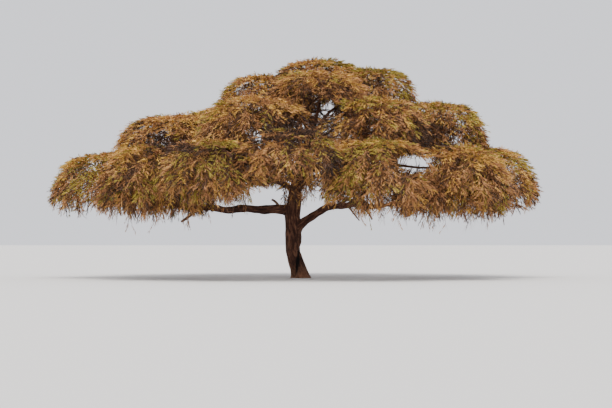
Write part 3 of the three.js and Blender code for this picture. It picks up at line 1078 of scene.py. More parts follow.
@dataclass(frozen=True)
class BarkRelief:
    """The relief of bark on a limb laid straight: pitches across and along it, and shares of its depth."""

    twist: float = 0.3
    ridge_pitch: tuple[float, float, float] = (15, 15, 1.9)
    ridge_steepness: float = 1.6
    plate_pitch: tuple[float, float, float] = (7, 7, 1.1)
    plate_shift: float = 40
    plate_share: float = 0.5
    knot_pitch: tuple[float, float, float] = (2.2, 2.2, 1.4)
    knot_shift: float = 90
    knot_share: float = 0.9
    full_radius: float = 0.3
    least_share: float = 0.15
    foot: float = 0.05


class BarkMesher:
    """Makes limbs as tubes, joins them and cuts the relief of their bark."""

    TRUNK_POINTS = 24
    FEWEST_POINTS = 8
    SPACING = 0.25
    GRAIN_SHIFT = 3.1
    BLOCK = 4000

    def __init__(self, limbs: dict[str, Limb], trunk: TrunkForm) -> None:
        """Cuts the limbs into the straight stretches that the bark's grain follows.

        Args:
            limbs: The limbs, with the trunk among them.
            trunk: The trunk's form.
        """
        self.trunk = trunk
        self.form = BarkRelief()
        self.noise = Noise(11)
        rows = [self.stretches(limb, index) for index, limb in enumerate(limbs.values())]
        columns = [np.concatenate(column) for column in zip(*rows)]
        self.starts, self.ways, self.first_radii, self.last_radii, self.frames, self.offsets = columns

    def stretches(self, limb: Limb, index: int) -> tuple[np.ndarray, ...]:
        """The straight stretches of one limb.

        Args:
            limb: The limb.
            index: Its row, which shifts its grain.

        Returns:
            Their starts, ways, first and last radii, frames, and distances along the grain.
        """
        count = max(self.FEWEST_POINTS, int(limb.length / self.SPACING))
        points, radii = limb.line(self.TRUNK_POINTS if limb.name == "trunk" else count)
        along, across, other = frames_along(points)
        frames = np.stack([across[:-1], other[:-1], along[:-1]], axis=1)
        offsets = distances_along(points)[:-1] + self.GRAIN_SHIFT * index
        return points[:-1], np.diff(points, axis=0), radii[:-1], radii[1:], frames, offsets

    @staticmethod
    def tube(bm: bmesh.types.BMesh, points: np.ndarray, radii: np.ndarray, sides: int) -> None:
        """Adds a closed tube along a line: a circle that is drawn out ring by ring.

        Args:
            bm: The mesh that it is added to.
            points: The line's points.
            radii: The tube's radius at each point.
            sides: How many sides it has.
        """
        along, across, other = frames_along(points)

        def pose(i: int) -> Matrix:
            """The place of one ring.

            Args:
                i: The ring's place in the line.

            Returns:
                What brings a circle of radius 1 there.
            """
            basis = np.eye(4)
            basis[:3, 0], basis[:3, 1], basis[:3, 2] = across[i] * radii[i], other[i] * radii[i], along[i]
            basis[:3, 3] = points[i]
            return Matrix(basis.tolist())

        ring = bmesh.ops.create_circle(bm, segments=sides, radius=1, cap_ends=False)["verts"]
        bmesh.ops.transform(bm, matrix=pose(0), verts=ring)
        edges = list(dict.fromkeys(edge for vert in ring for edge in vert.link_edges))
        ends = list(edges)
        for i in range(1, len(points)):
            made = bmesh.ops.extrude_edge_only(bm, edges=edges)["geom"]
            verts = [item for item in made if isinstance(item, bmesh.types.BMVert)]
            edges = [item for item in made if isinstance(item, bmesh.types.BMEdge)]
            bmesh.ops.transform(bm, matrix=pose(i) @ pose(i - 1).inverted(), verts=verts)
        bmesh.ops.holes_fill(bm, edges=ends + edges, sides=0)

    def nearest(self, points: np.ndarray) -> tuple[np.ndarray, np.ndarray]:
        """The stretch of limb that each point belongs to.

        Args:
            points: The points, which are worked through in blocks.

        Returns:
            Each point's stretch, and the share along it.
        """
        chosen = np.zeros(len(points), int)
        shares = np.zeros(len(points))
        for start in range(0, len(points), self.BLOCK):
            block = slice(start, start + self.BLOCK)
            share, gap = nearest_on(points[block], self.starts, self.ways)
            best = np.argmin(gap - lerp(self.first_radii, self.last_radii, share), axis=1)
            chosen[block] = best
            shares[block] = share[np.arange(len(best)), best]
        return chosen, shares

    def grain(self, points: np.ndarray) -> tuple[np.ndarray, np.ndarray]:
        """Lays each point's limb straight, with its grain's twist.

        Args:
            points: The points.

        Returns:
            The points in the space of their straight limbs, and the limbs' radii there.
        """
        chosen, share = self.nearest(points)
        off = points - (self.starts[chosen] + self.ways[chosen] * share[:, None])
        frame = self.frames[chosen]
        x, y = (off * frame[:, 0]).sum(1), (off * frame[:, 1]).sum(1)
        along = self.offsets[chosen] + np.linalg.norm(self.ways[chosen], axis=1) * share
        cos, sin = np.cos(self.form.twist * along), np.sin(self.form.twist * along)
        straight = np.stack([x * cos - y * sin, x * sin + y * cos, along], axis=1)
        return straight, lerp(self.first_radii[chosen], self.last_radii[chosen], share)

    def relief(self, mesh: bpy.types.Mesh, depth: float) -> None:
        """Pushes a mesh's points in and out by the bark's fissures and plates, and keeps on it the grain and
        the cleft's depth for the painted shade.

        Args:
            mesh: The mesh.
            depth: How deep the fissures are on the thickest wood.
        """
        form = self.form
        count = len(mesh.vertices)
        points = np.empty(count * 3)
        normals = np.empty(count * 3)
        mesh.vertices.foreach_get("co", points)
        mesh.vertex_normals.foreach_get("vector", normals)
        points, normals = points.reshape(-1, 3), normals.reshape(-1, 3)
        straight, radius = self.grain(points)
        thick = np.clip(radius / form.full_radius, form.least_share, 1)
        ridges = 1 - np.abs(self.noise.layered(straight * form.ridge_pitch, 2)) * form.ridge_steepness
        fissures = np.clip(ridges, 0, 1) ** 3
        plates = self.noise.layered(straight * form.plate_pitch + form.plate_shift, 3)
        knots = self.noise.layered(straight * form.knot_pitch + form.knot_shift, 2)
        push = thick * (depth * (form.plate_share * plates - fissures) + form.knot_share * depth * knots)
        push *= np.clip(points[:, 2] / form.foot, 0, 1)
        moved = points + normals * push[:, None]
        moved[:, 2] = np.maximum(moved[:, 2], 0)
        mesh.vertices.foreach_set("co", moved.ravel())
        carried = mesh.attributes.new("grain", "FLOAT_VECTOR", "POINT")
        carried.data.foreach_set("vector", straight.ravel())
        # The cleft's depth, which the painted shade in the cleft follows.
        hollow = mesh.attributes.new("hollow", "FLOAT", "POINT")
        hollow.data.foreach_set("value", self.trunk.hollow(points))
        mesh.update()

    @staticmethod
    def mesh_of(name: str, bm: bmesh.types.BMesh) -> bpy.types.Mesh:
        """Finishes a bmesh, with its faces outwards and smooth.

        Args:
            name: The mesh's name.
            bm: The bmesh, which is freed.

        Returns:
            The mesh.
        """
        bmesh.ops.recalc_face_normals(bm, faces=bm.faces)
        mesh = bpy.data.meshes.new(name)
        bm.to_mesh(mesh)
        bm.free()
        mesh.shade_smooth()
        return mesh

    @staticmethod
    def fused(name: str, mesh: bpy.types.Mesh, voxel: float) -> bpy.types.Object:
        """Grows overlapping tubes together, as wood is at a fork.

        Args:
            name: The object's name.
            mesh: The tubes.
            voxel: The size of the cells that the surface is rebuilt from.

        Returns:
            The object.
        """
        rough = add_object(name + "_tubes", mesh)
        remesh = rough.modifiers.new("Grow together", "REMESH")
        remesh.mode = "VOXEL"
        remesh.voxel_size = voxel
        soften = rough.modifiers.new("Soften", "SMOOTH")
        soften.factor = 0.5
        soften.iterations = 3
        evaluated = rough.evaluated_get(bpy.context.evaluated_depsgraph_get())
        joined = bpy.data.meshes.new_from_object(evaluated)
        bpy.data.objects.remove(rough)
        joined.name = name
        joined.shade_smooth()
        return add_object(name, joined)


@dataclass
class Wood:
    """The trunk, the boughs and the dead snags, as wood with the relief of its bark."""

    limbs: dict[str, Limb]
    snags: dict[str, Limb]
    trunk: TrunkForm
    trunk_sides: int = 64
    trunk_rings: int = 150
    low_spacing: float = 0.06
    low_sides: int = 20
    low_voxel: float = 0.032
    low_relief: float = 0.022
    high_spacing: float = 0.09
    high_sides: int = 12
    high_relief: float = 0.016
    snag_rings: int = 24
    snag_sides: int = 10
    swelling: float = 0.4
    lumps: tuple[float, float] = (0.05, 0.04)
    lump_pitches: tuple[float, float] = (5.3, 11.7)
    wave: float = 0.05
    wave_pitch: float = 3.93
    wave_from: float = 2.1

    def trunk_tube(self, bm: bmesh.types.BMesh) -> None:
        """Adds the trunk, with its flutes and its cleft: a straight tube whose rings are then shaped.

        Args:
            bm: The mesh that it is added to.
        """
        heights = np.linspace(0, TRUNK_TOP, self.trunk_rings)
        points = np.array([self.trunk.middle(z) for z in heights])
        smooth = np.array([self.trunk.value(z, lambda s: s.radius) for z in heights])
        start = len(bm.verts)
        BarkMesher.tube(bm, heights[:, None] * UP, np.ones_like(heights), self.trunk_sides)
        bm.verts.ensure_lookup_table()
        for vert in bm.verts[start:]:
            z = vert.co.z
            angle = math.atan2(vert.co.y, vert.co.x)
            radius = np.interp(z, heights, smooth) * float(self.trunk.shape(np.array(z), np.array(angle)))
            middle = (np.interp(z, heights, points[:, 0]), np.interp(z, heights, points[:, 1]))
            vert.co = Vector((middle[0] + math.cos(angle) * radius, middle[1] + math.sin(angle) * radius, z))

    def bough_line(self, limb: Limb, spacing: float) -> tuple[np.ndarray, np.ndarray]:
        """A bough's line, with the swelling where it leaves the wood that bears it, and its lumps.

        Args:
            limb: The bough.
            spacing: How far apart its rings are.

        Returns:
            The line's points and radii.
        """
        count = max(6, int(limb.length / spacing))
        points, radii = limb.line(count)
        distance = np.linspace(0, limb.length, count)
        swell = 1 + self.swelling * np.exp(-((distance / (2 * radii[0] + 0.1)) ** 2))
        coarse = self.lumps[0] * np.sin(distance * self.lump_pitches[0] + len(limb.name))
        lumps = 1 + coarse + self.lumps[1] * np.sin(distance * self.lump_pitches[1])
        if limb.name in OLD_BOUGHS:
            wave = self.wave * np.cos(self.wave_pitch * (distance - self.wave_from))
            points[:, 2] += wave * np.sin(math.pi * distance / limb.length)
        return points, radii * swell * lumps

    def build(self) -> None:
        """Makes the pieces of wood and dresses them."""
        mesher = BarkMesher({**self.limbs, **self.snags}, self.trunk)
        low = bmesh.new()
        self.trunk_tube(low)
        for name in OLD_BOUGHS:
            mesher.tube(low, *self.bough_line(self.limbs[name], self.low_spacing), self.low_sides)
        trunk = mesher.fused("trunk_and_low_boughs", mesher.mesh_of("low", low), self.low_voxel)
        mesher.relief(trunk.data, self.low_relief)
        finish_piece(trunk, BARK, ["trunk"] + ["bough_" + name for name in OLD_BOUGHS])
        high = bmesh.new()
        names = [mass.name for mass in CROWN if mass.name not in OLD_BOUGHS]
        for name in names:
            mesher.tube(high, *self.bough_line(self.limbs[name], self.high_spacing), self.high_sides)
        boughs = add_object("high_boughs", mesher.mesh_of("high_boughs", high))
        mesher.relief(boughs.data, self.high_relief)
        finish_piece(boughs, BARK, ["bough_" + name for name in names])
        dead = bmesh.new()
        for limb in self.snags.values():
            mesher.tube(dead, *limb.line(self.snag_rings), self.snag_sides)
        snags = add_object("dead_snags", mesher.mesh_of("dead_snags", dead))
        mesher.relief(snags.data, self.high_relief)
        finish_piece(snags, DEAD_WOOD, [snag.name for snag in SNAGS])


@dataclass
class Strands:
    """Many fine strands of the same number of points: arrays of points, radii and a kind for each."""

    points: list[np.ndarray] = field(default_factory=list)
    radii: list[np.ndarray] = field(default_factory=list)
    kinds: list[np.ndarray] = field(default_factory=list)

    def add(self, points: np.ndarray, radii: np.ndarray, kinds: np.ndarray) -> None:
        """Adds a batch of strands.

        Args:
            points: n by k by 3 points.
            radii: n by k radii.
            kinds: n kinds.
        """
        self.points.append(points)
        self.radii.append(radii)
        self.kinds.append(kinds)

    def draw(self, line: np.ndarray, radii: np.ndarray) -> None:
        """Adds one strand, of the first kind."""
        self.add(line[None], radii[None], np.zeros(1, int))

    def arrays(self) -> tuple[np.ndarray, np.ndarray, np.ndarray]:
        """All of the batches together."""
        return np.concatenate(self.points), np.concatenate(self.radii), np.concatenate(self.kinds)


def triangle_mesh(name: str, verts: np.ndarray, faces: np.ndarray, smooth: bool) -> bpy.types.Mesh:
    """A mesh of triangles from arrays.

    Args:
        name: Its name.
        verts: n by 3 points.
        faces: m by 3 indices.
        smooth: Whether the faces are shaded smooth.

    Returns:
        The mesh.
    """
    mesh = bpy.data.meshes.new(name)
    mesh.vertices.add(len(verts))
    mesh.vertices.foreach_set("co", verts.astype(np.float32).ravel())
    mesh.loops.add(faces.size)
    mesh.loops.foreach_set("vertex_index", faces.astype(np.int32).ravel())
    mesh.polygons.add(len(faces))
    mesh.polygons.foreach_set("loop_start", np.arange(len(faces), dtype=np.int32) * 3)
    if smooth:
        mesh.shade_smooth()
    mesh.update(calc_edges=True)
    mesh.validate()
    return mesh


def strand_mesh(name: str, points: np.ndarray, radii: np.ndarray) -> bpy.types.Mesh:
    """Three-sided tapering strands in one mesh, each drawn out to a point.

    Args:
        name: The mesh's name.
        points: n by k by 3 points, root to tip.
        radii: n by k radii; the last one isn't used.

    Returns:
        The mesh.
    """
    strands, steps = points.shape[:2]
    along = unit(np.gradient(points, axis=1))
    side = unit(np.cross(along, UP) + 1e-5)
    over = np.cross(side, along)
    rings = []
    for i in range(3):
        angle = FULL_TURN * i / 3 + 0.5
        offset = side * math.cos(angle) + over * math.sin(angle)
        rings.append(points + offset * radii[..., None])
    body = np.stack(rings, axis=2)[:, :-1]
    verts = np.concatenate([body.reshape(strands, -1, 3), points[:, -1:]], axis=1)
    per = 3 * (steps - 1) + 1
    pattern = []
    for ring in range(steps - 2):
        for i in range(3):
            a, b = ring * 3 + i, ring * 3 + (i + 1) % 3
            pattern += [(a, b, b + 3), (a, b + 3, a + 3)]
    last = (steps - 2) * 3
    pattern += [(last + i, last + (i + 1) % 3, per - 1) for i in range(3)]
    faces = np.array(pattern)[None] + (np.arange(strands) * per)[:, None, None]
    return triangle_mesh(name, verts.reshape(-1, 3), faces.reshape(-1, 3), True)


@dataclass(frozen=True)
class TintRule:
    """How colours are dealt out by spray, with painted light and shade: shares in the order of Tint, for lit
    places, for shaded places where darker tints paint the shade, and for hollows where the painted shade is
    darkest.
    """

    patch_pitch: float = 0.6
    patch_green: float = 1.1
    height_green: float = 0.3
    even_height: float = 0.55
    most_green: float = 0.95
    light_range: float = 0.45
    under_light: float = 0.45
    lit: tuple[float, ...] = (0.5, 0.36, 0.14)
    low_green: float = 0.3
    low: tuple[float, ...] = (0.07, 0.24, 0.38, 0.3, 0.05)
    inner: tuple[float, ...] = (0.0, 0.0, 0.04, 0.2, 0.56, 0.2)
    hollow: tuple[float, ...] = (0.0, 0.0, 0.0, 0.05, 0.35, 0.5)
    hollow_shade_keeps: float = 0.1
    hollow_shade_room: float = 1.3
    hollow_shade_back: float = 2.0
    change: tuple[float, float, float] = (0.66, 0.2, 0.14)
    # Light-coloured twigs go mostly with the lighter tints and never with shade, so the painted shade carries
    # on into the twigs.
    light_twigs: tuple[float, ...] = (0.45, 0.6, 0.55, 0.4, 0.2, 0.0)


@dataclass(frozen=True)
class SprayRule:
    """How the crown's sprays divide: counts for a mass of middling size, metres, and shares of a mass."""

    # The branches and the branchlets that leave them, spread by the solids' spiral.
    middling_area: float = 6.8
    area_power: float = 0.9
    branch_points: int = 7
    branchlets: int = 44
    fewest: int = 10
    innermost: float = 0.12
    outermost: float = 0.9
    edge_share: float = 1.15
    reach_jitter: float = 0.02
    turn_jitter: float = 0.06
    depth: float = 0.84
    depth_jitter: float = 0.03
    climb_cost: float = 0.5
    arch: float = 0.12
    arch_share: float = 0.1
    branchlet_radii: tuple[float, float] = (0.017, 0.009)
    branchlet_points: int = 5
    outline_share: float = 1.22
    window_heed: float = 0.8
    # The fans over the dome, and the sprays that fill its top.
    fan: int = 5
    inwards: int = 2
    inwards_below: float = 0.42
    inwards_reach: tuple[float, float] = (0.12, 0.45)
    inwards_depth: float = 0.95
    fan_reach: tuple[float, float] = (0.08, 0.3)
    fan_spread: float = 0.42
    fan_depth: float = 0.965
    fan_arch: float = 0.2
    edge: float = 0.985
    overhang: float = 1.5
    # The sprays that hang.
    hang_from: float = 0.5
    deep_hang_from: float = 0.25
    hanging_depth: tuple[float, float] = (0.5, 0.98)
    deep_hanging: tuple[float, float] = (0.64, 0.99)
    straggling: tuple[float, float] = (1.0, 1.2)
    straggler_girth: float = 1.9
    least_drop: float = 0.25
    longest_drop: float = 1.7
    # The tier under the edge of the dome.
    lower: int = 12
    deep_lower: float = 2.4
    lower_height: tuple[float, float] = (0.1, 0.72)
    lower_from: float = 0.5
    deep_lower_from: float = 0.3
    lower_to: float = 0.78
    lower_fan: int = 4
    lower_spread: float = 0.24
    lower_reach: tuple[float, float] = (0.86, 0.97)
    lower_drop: tuple[float, float] = (0.15, 0.6)
    # The sprays inside and under the dome.
    inner: int = 15
    inner_outline: float = 1.9
    inner_depth: tuple[float, float] = (0.3, 0.75)
    under: int = 20
    under_depth: tuple[float, float] = (0.78, 0.94)
    # One spray with its twigs and leaves.
    radii: tuple[float, float] = (0.01, 0.004)
    points: int = 3
    shorter: tuple[float, ...] = (1.0, 0.8, 0.6)
    waver: float = 0.012
    twig_spacing: float = 0.091
    twig_length: float = 0.4
    twig_lean: tuple[float, float] = (50, 18)
    twig_radius: float = 0.0065
    leaf_count: int = 4
    leaf_length: float = 0.21
    leaf_width: float = 0.13
    leaf_widest: float = 0.42
    leaf_lean: float = 12.0
    # The room that all of them keep.
    limb_margin: float = 0.05
    window_room: float = 0.88
    window_unevenness: float = 0.75
    window_pitch: float = 1.7
    proud_aside: float = 0.08
    proud_above: float = 0.11


class Spray(Enum):
    """The kinds of spray.

    Each has how much its twigs sag, how many of them are bare, where the first one is, how far below its
    mass it may hang, and how level its twigs lie.
    """

    DOME = (0.1, 0.05, 0.12, 0.0, 0.55)
    HANGING = (0.3, 0.3, 0.12, 0.0, 0.9)
    STRAGGLING = (0.35, 0.7, 0.2, 0.5, 0.9)
    UNDER = (0.08, 0.08, 0.3, 0.0, 0.55)
    INNER = (0.08, 0.2, 0.3, 0.0, 0.55)

    def __init__(self, sag: float, bare: float, begin: float, beyond: float, flatness: float) -> None:
        """Keeps the kind's values.

        Args:
            sag: How far its twigs' tips sag, as a share of their length.
            bare: The share of its twigs that are bare.
            begin: The share of its length where its twigs begin.
            beyond: How far below its mass it may hang.
            flatness: What is left of the slope of its twigs.
        """
        self.sag = sag
        self.bare = bare
        self.begin = begin
        self.beyond = beyond
        self.flatness = flatness


@dataclass
class Crown:
    """The masses of the crown: branches, twigs and leaves, grown mass by mass."""

    limbs: dict[str, Limb]
    growth: GrowthRule
    rule: SprayRule = field(default_factory=SprayRule)
    tints: TintRule = field(default_factory=TintRule)
    random: np.random.Generator = field(default_factory=lambda: np.random.default_rng(7))
    patches: Noise = field(default_factory=lambda: Noise(5))
    branches: Strands = field(default_factory=Strands)
    branchlets: Strands = field(default_factory=Strands)
    sprays: Strands = field(default_factory=Strands)
    twigs: Strands = field(default_factory=Strands)

    def __post_init__(self) -> None:
        """Cuts the limbs into the straight stretches that everything else keeps off."""
        stretches = [pair for limb in self.limbs.values() for pair in zip(limb.rings, limb.rings[1:])]
        self.starts = np.array([first[0] for first, _ in stretches])
        self.ways = np.array([last[0] for _, last in stretches]) - self.starts
        self.thickness = np.array([first[2] for first, _ in stretches])

    def clear(self, points: np.ndarray, windows: bool = True) -> np.ndarray:
        """Which points keep off the limbs and out of the windows.

        Args:
            points: The points.
            windows: Whether the windows count.

        Returns:
            Whether each point is free.
        """
        rule = self.rule
        gap = nearest_on(points, self.starts, self.ways)[1] - self.thickness
        free = gap.min(1) > rule.limb_margin
        if windows:
            room = rule.window_room + rule.window_unevenness * self.patches(points * rule.window_pitch)
            for window in WINDOWS:
                free &= ~window.holds(points, room)
        return free

    def tint(self, mass: Mass, end: np.ndarray, kind: Spray) -> int:
        """The colour of a spray's leaves, dealt by its mass's green, its place and seeded chance, with darker
        tints as painted shade low in the mass, under and inside it and in the hollows.

        Args:
            mass: The mass.
            end: Where the spray ends.
            kind: The kind of spray.

        Returns:
            The place of the tint in Tint.
        """
        rule = self.tints
        height = (end[2] - mass.at[2] + mass.fall) / (mass.rise + mass.fall)
        patch = float(self.patches(np.array([end * rule.patch_pitch]))[0])
        green = mass.green + rule.patch_green * patch + rule.height_green * (height - rule.even_height)
        green = float(np.clip(green, 0, rule.most_green))
        # Low in the mass and on the sprays under its dome, darker tints are dealt as painted shade; inner
        # sprays take mostly umber and shade, painted shade too.
        light = float(np.clip((height - mass.shaded) / rule.light_range, 0, 1))
        light *= rule.under_light if kind is Spray.UNDER else 1
        if kind is Spray.INNER:
            weights = np.array(rule.inner)
        else:
            upper = np.array([green, *[(1 - green) * share for share in rule.lit], 0.0, 0.0])
            lower = np.array([rule.low_green * green, *rule.low])
            weights = lerp(lower / lower.sum(), upper, light)
            # In the hollows, seen from the front, the tints are turned mostly to umber and shade: painted
            # shade.
            shown = end[1] < rule.hollow_shade_back
            if shown and any(hollow.holds(end[None], rule.hollow_shade_room)[0] for hollow in PAINTED_SHADE_HOLLOWS):
                weights = weights * rule.hollow_shade_keeps + np.array(rule.hollow)
        return int(self.random.choice(len(Tint), p=weights / sum(weights)))

    def skeleton(self, mass: Mass, seeded: SeededRandom) -> np.ndarray:
        """Grows the stem and main twigs of a mass.

        Args:
            mass: The mass.
            seeded: The generator of its solid.

        Returns:
            The points that branchlets may leave from.
        """
        stem = self.growth.stem(mass, self.limbs[mass.name])
        twigs = self.growth.main_twigs(mass, seeded)
        for limb in (stem, *twigs):
            self.branches.draw(*limb.line(self.rule.branch_points))
        return np.concatenate([limb.line(12, 0.1)[0] for limb in twigs] + [stem.line(4, 0.6)[0]])

    def grow_side_branch(self, branch: SideBranch) -> None:
        """Grows a bare branch with a few short twigs on its outer half.

        Args:
            branch: The branch.
        """
        start = self.limbs[branch.parent].place(branch.share)[0]
        course = [start, *[np.array(point) for point in branch.course]]
        count = self.rule.branch_points
        self.branches.draw(bezier_line(course, count), np.linspace(*branch.radii, count))
        for share in np.linspace(0.45, 0.95, branch.twigs):
            root = bezier(course, share)
            tip = root + self.random.normal(0, 1, 3) * branch.twig_reach
            bend = lerp(root, tip, 0.5) + UP * branch.twig_arch
            self.sprays.draw(np.array([root, bend, tip]), np.array(branch.twig_radii))

    def branchlet(self, control: list[np.ndarray]) -> np.ndarray | None:
        """Grows one branchlet, if it keeps off the limbs and, in most cases, out of the windows.

        Args:
            control: The control points of its line.

        Returns:
            Its line, or none where it would be in the way.
        """
        rule = self.rule
        line = bezier_line(control, rule.branchlet_points)
        if not self.clear(line[2:], windows=self.random.uniform() < rule.window_heed).all():
            return None
        self.branchlets.draw(line, np.linspace(*rule.branchlet_radii, rule.branchlet_points))
        return line

    @staticmethod
    def nearest_feed(feeds: np.ndarray, end: np.ndarray, climb_cost: float = 0.0) -> np.ndarray:
        """Where a branchlet or spray leaves its mass's skeleton.

        Args:
            feeds: The points that it may leave from.
            end: Where it ends.
            climb_cost: How much a start above the end counts against it.

        Returns:
            The nearest point.
        """
        gap = np.linalg.norm(feeds - end, axis=1) + climb_cost * np.maximum(0, feeds[:, 2] - end[2])
        return feeds[int(np.argmin(gap))]

    def grow_mass(self, mass: Mass, index: int) -> None:
        """Grows one mass: branchlets by the solids' spiral, each with a fan of sprays and some that hang.

        Args:
            mass: The mass.
            index: Its row, which seeds it as in the solids.
        """
        rule, rng = self.rule, self.random
        feeds = self.skeleton(mass, SeededRandom(1 + index))
        first = math.atan2(mass.at[1], mass.at[0])
        outline = abs(mass.at[1]) < 1
        size = (mass.half[0] * mass.half[1] / rule.middling_area) ** rule.area_power
        size *= rule.outline_share if outline else 1
        count = max(rule.fewest, round(rule.branchlets * size))
        for i in range(count):
            spiral = (i / (count - 1)) ** rule.edge_share
            reach = math.sqrt(lerp(rule.outermost**2, rule.innermost**2, spiral))
            reach += rng.normal(0, rule.reach_jitter)
            turn = first + i * GOLDEN_TURN + rng.normal(0, rule.turn_jitter)
            depth = rule.depth + rng.normal(0, rule.depth_jitter)
            end = lerp(mass.middle, self.growth.dome(mass, reach, turn), depth)
            start = self.nearest_feed(feeds, end, rule.climb_cost)
            over = lerp(start, end, 0.55) + UP * (rule.arch + rule.arch_share * np.linalg.norm(end - start))
            line = self.branchlet([start, over, end])
            if line is None:
                continue
            self.fan(mass, end, reach, turn)
            more = 2 if mass.deep and reach > rule.deep_hang_from else 0
            for _ in range(int(reach > rule.hang_from) + more):
                self.hang(mass, line)
        self.lower_tier(mass, feeds, first, round(rule.lower * size * (rule.deep_lower if mass.deep else 1)))
        inner = rule.inner * (rule.inner_outline if outline else 1)
        self.fill(mass, feeds, Spray.INNER, round(inner * size), rule.inner_depth)
        self.fill(mass, feeds, Spray.UNDER, round(rule.under * size), rule.under_depth)

    def fill(
        self, mass: Mass, feeds: np.ndarray, kind: Spray, count: int, depths: tuple[float, float]
    ) -> None:
        """Fills the inside of a mass with sprays that leave its skeleton.

        Args:
            mass: The mass.
            feeds: The points that they may leave from.
            kind: Their kind.
            count: How many there are.
            depths: The least and the greatest share of the way from the mass's middle to its dome.
        """
        rng = self.random
        for _ in range(count):
            far = self.growth.dome(mass, math.sqrt(rng.uniform(0.03, 0.9)), rng.uniform(0, FULL_TURN))
            end = lerp(mass.middle, far, rng.uniform(*depths))
            start = self.nearest_feed(feeds, end)
            self.spray(mass, [start, lerp(start, end, 0.5) + UP * self.rule.arch, end], kind)

    def lower_tier(self, mass: Mass, feeds: np.ndarray, first: float, count: int) -> None:
        """Grows branchlets under the edge of the dome, each with sprays that go outwards and hang.

        Args:
            mass: The mass.
            feeds: The points that they may leave from.
            first: The turn of the first one.
            count: How many there are.
        """
        rule, rng = self.rule, self.random
        inmost = rule.deep_lower_from if mass.deep else rule.lower_from
        for i in range(count):
            turn = first + FULL_TURN * (i + rng.uniform(-0.3, 0.3)) / count
            drop = mass.fall * rng.uniform(*rule.lower_height)
            end = mass.middle + mass.around(turn) * rng.uniform(inmost, rule.lower_to) - UP * drop
            start = self.nearest_feed(feeds, end)
            line = self.branchlet([start, lerp(start, end, 0.5) + UP * 0.1, end])
            if line is None:
                continue
            for j in range(rule.lower_fan):
                aside = turn + (j / 1.5 - 1) * rule.lower_spread
                far = mass.middle + mass.around(aside) * rng.uniform(*rule.lower_reach)
                far[2] = end[2] - rng.uniform(*rule.lower_drop)
                self.spray(mass, [end, lerp(end, far, 0.5) + UP * 0.16, far], Spray.HANGING)
            for _ in range(3 if mass.deep else 2):
                self.hang(mass, line)
            if mass.deep and i % 2 == 0:
                self.hang(mass, line, Spray.STRAGGLING)

    def fan(self, mass: Mass, start: np.ndarray, reach: float, turn: float) -> None:
        """Spreads a fan of sprays over the dome from the end of a branchlet.

        Args:
            mass: The mass.
            start: The branchlet's end.
            reach: Its share of the mass's half-widths.
            turn: Its turn round the mass.
        """
        rule, rng = self.rule, self.random
        for j in range(rule.fan):
            across = (2 * j / (rule.fan - 1) - 1) + rng.normal(0, 0.15)
            far = reach + rng.uniform(*rule.fan_reach) * (1.1 - 0.35 * abs(across))
            beyond = max(0.0, far - rule.edge)
            far = min(far, rule.edge)
            aside = turn + across * rule.fan_spread / (mass.half[0] * max(far, 0.3))
            end = self.growth.dome(mass, far, aside) - UP * (rule.overhang * beyond * mass.half[0])
            end = lerp(mass.middle, end, rule.fan_depth) + rng.normal(0, 0.04, 3)
            way = end - start
            arch = UP * rule.fan_arch * float(np.linalg.norm(way))
            self.spray(mass, [start, start + 0.5 * way + arch, end], Spray.DOME)
        for _ in range(rule.inwards if reach < rule.inwards_below else 0):
            far = reach - rng.uniform(*rule.inwards_reach)
            aside = turn + rng.normal(0, 0.7) + (math.pi if far < 0 else 0)
            end = lerp(mass.middle, self.growth.dome(mass, abs(far), aside), rule.inwards_depth)
            self.spray(mass, [start, lerp(start, end, 0.5) + UP * 0.08, end], Spray.DOME)

    def hang(self, mass: Mass, line: np.ndarray, kind: Spray = Spray.HANGING) -> None:
        """Hangs a spray from the outer part of a branchlet.

        Args:
            mass: The mass.
            line: The branchlet's points.
            kind: Whether it hangs inside its mass or straggles below it.
        """
        rule, rng = self.rule, self.random
        start = lerp(line[-2], line[-1], rng.uniform(-0.8, 1.0))
        away = unit((start - mass.middle) * (1, 1, 0))
        end = start + away * rng.uniform(0.05, 0.4) + rng.normal(0, 0.16, 3)
        uneven = np.clip(0.5 + float(self.patches(np.array([end * 0.8]))[0]) + rng.normal(0, 0.2), 0, 1)
        depths = rule.deep_hanging if mass.deep else rule.hanging_depth
        if kind is Spray.STRAGGLING:
            depths = rule.straggling
        end[2] = min(start[2] - rule.least_drop, mass.at[2] - mass.fall * lerp(*depths, uneven))
        if start[2] - end[2] > rule.longest_drop:
            end[2] = start[2] - rng.uniform(0.65, 1.0) * rule.longest_drop
        out, low = start + away * 0.3 + UP * 0.06, lerp(start, end, 0.6) + away * 0.15
        self.spray(mass, [start, out, low, end], kind)

    def spray(self, mass: Mass, control: list[np.ndarray], kind: Spray) -> None:
        """Grows one spray with its twigs, if it keeps inside its mass and clear of limbs and windows.

        Args:
            mass: The mass.
            control: The control points of its line.
            kind: Its kind.
        """
        rule, rng = self.rule, self.random
        for share in rule.shorter:
            line = bezier_line(control, rule.points, share)
            if mass.level(line[-1:], 0, kind.beyond)[0] < 1 and self.clear(line[1:]).all():
                break
        else:
            return
        line[1:-1] += rng.normal(0, rule.waver, (rule.points - 2, 3))
        tint = self.tint(mass, line[-1], kind)
        girth = rule.straggler_girth if kind is Spray.STRAGGLING else 1
        self.sprays.draw(line, girth * np.linspace(*rule.radii, rule.points))
        self.grow_twigs(mass, line, tint, kind)

    def grow_twigs(self, mass: Mass, line: np.ndarray, tint: int, kind: Spray) -> None:
        """Grows the leafy twigs of one spray, by turns on either side.

        Args:
            mass: The mass that they keep to.
            line: The spray's points.
            tint: The colour of their leaves.
            kind: The spray's kind.
        """
        rule, rng = self.rule, self.random
        distance = distances_along(line)
        length = distance[-1]
        count = int(length * (1 - kind.begin) / rule.twig_spacing) + 2
        at = np.linspace(kind.begin, 1.0, count) + rng.uniform(-0.4, 0.4, count) * rule.twig_spacing / length
        at = np.clip(at, 0, 1)

        def on_line(spots: np.ndarray) -> np.ndarray:
            """Points at distances along the spray."""
            return np.stack([np.interp(spots, distance, line[:, axis]) for axis in range(3)], axis=1)

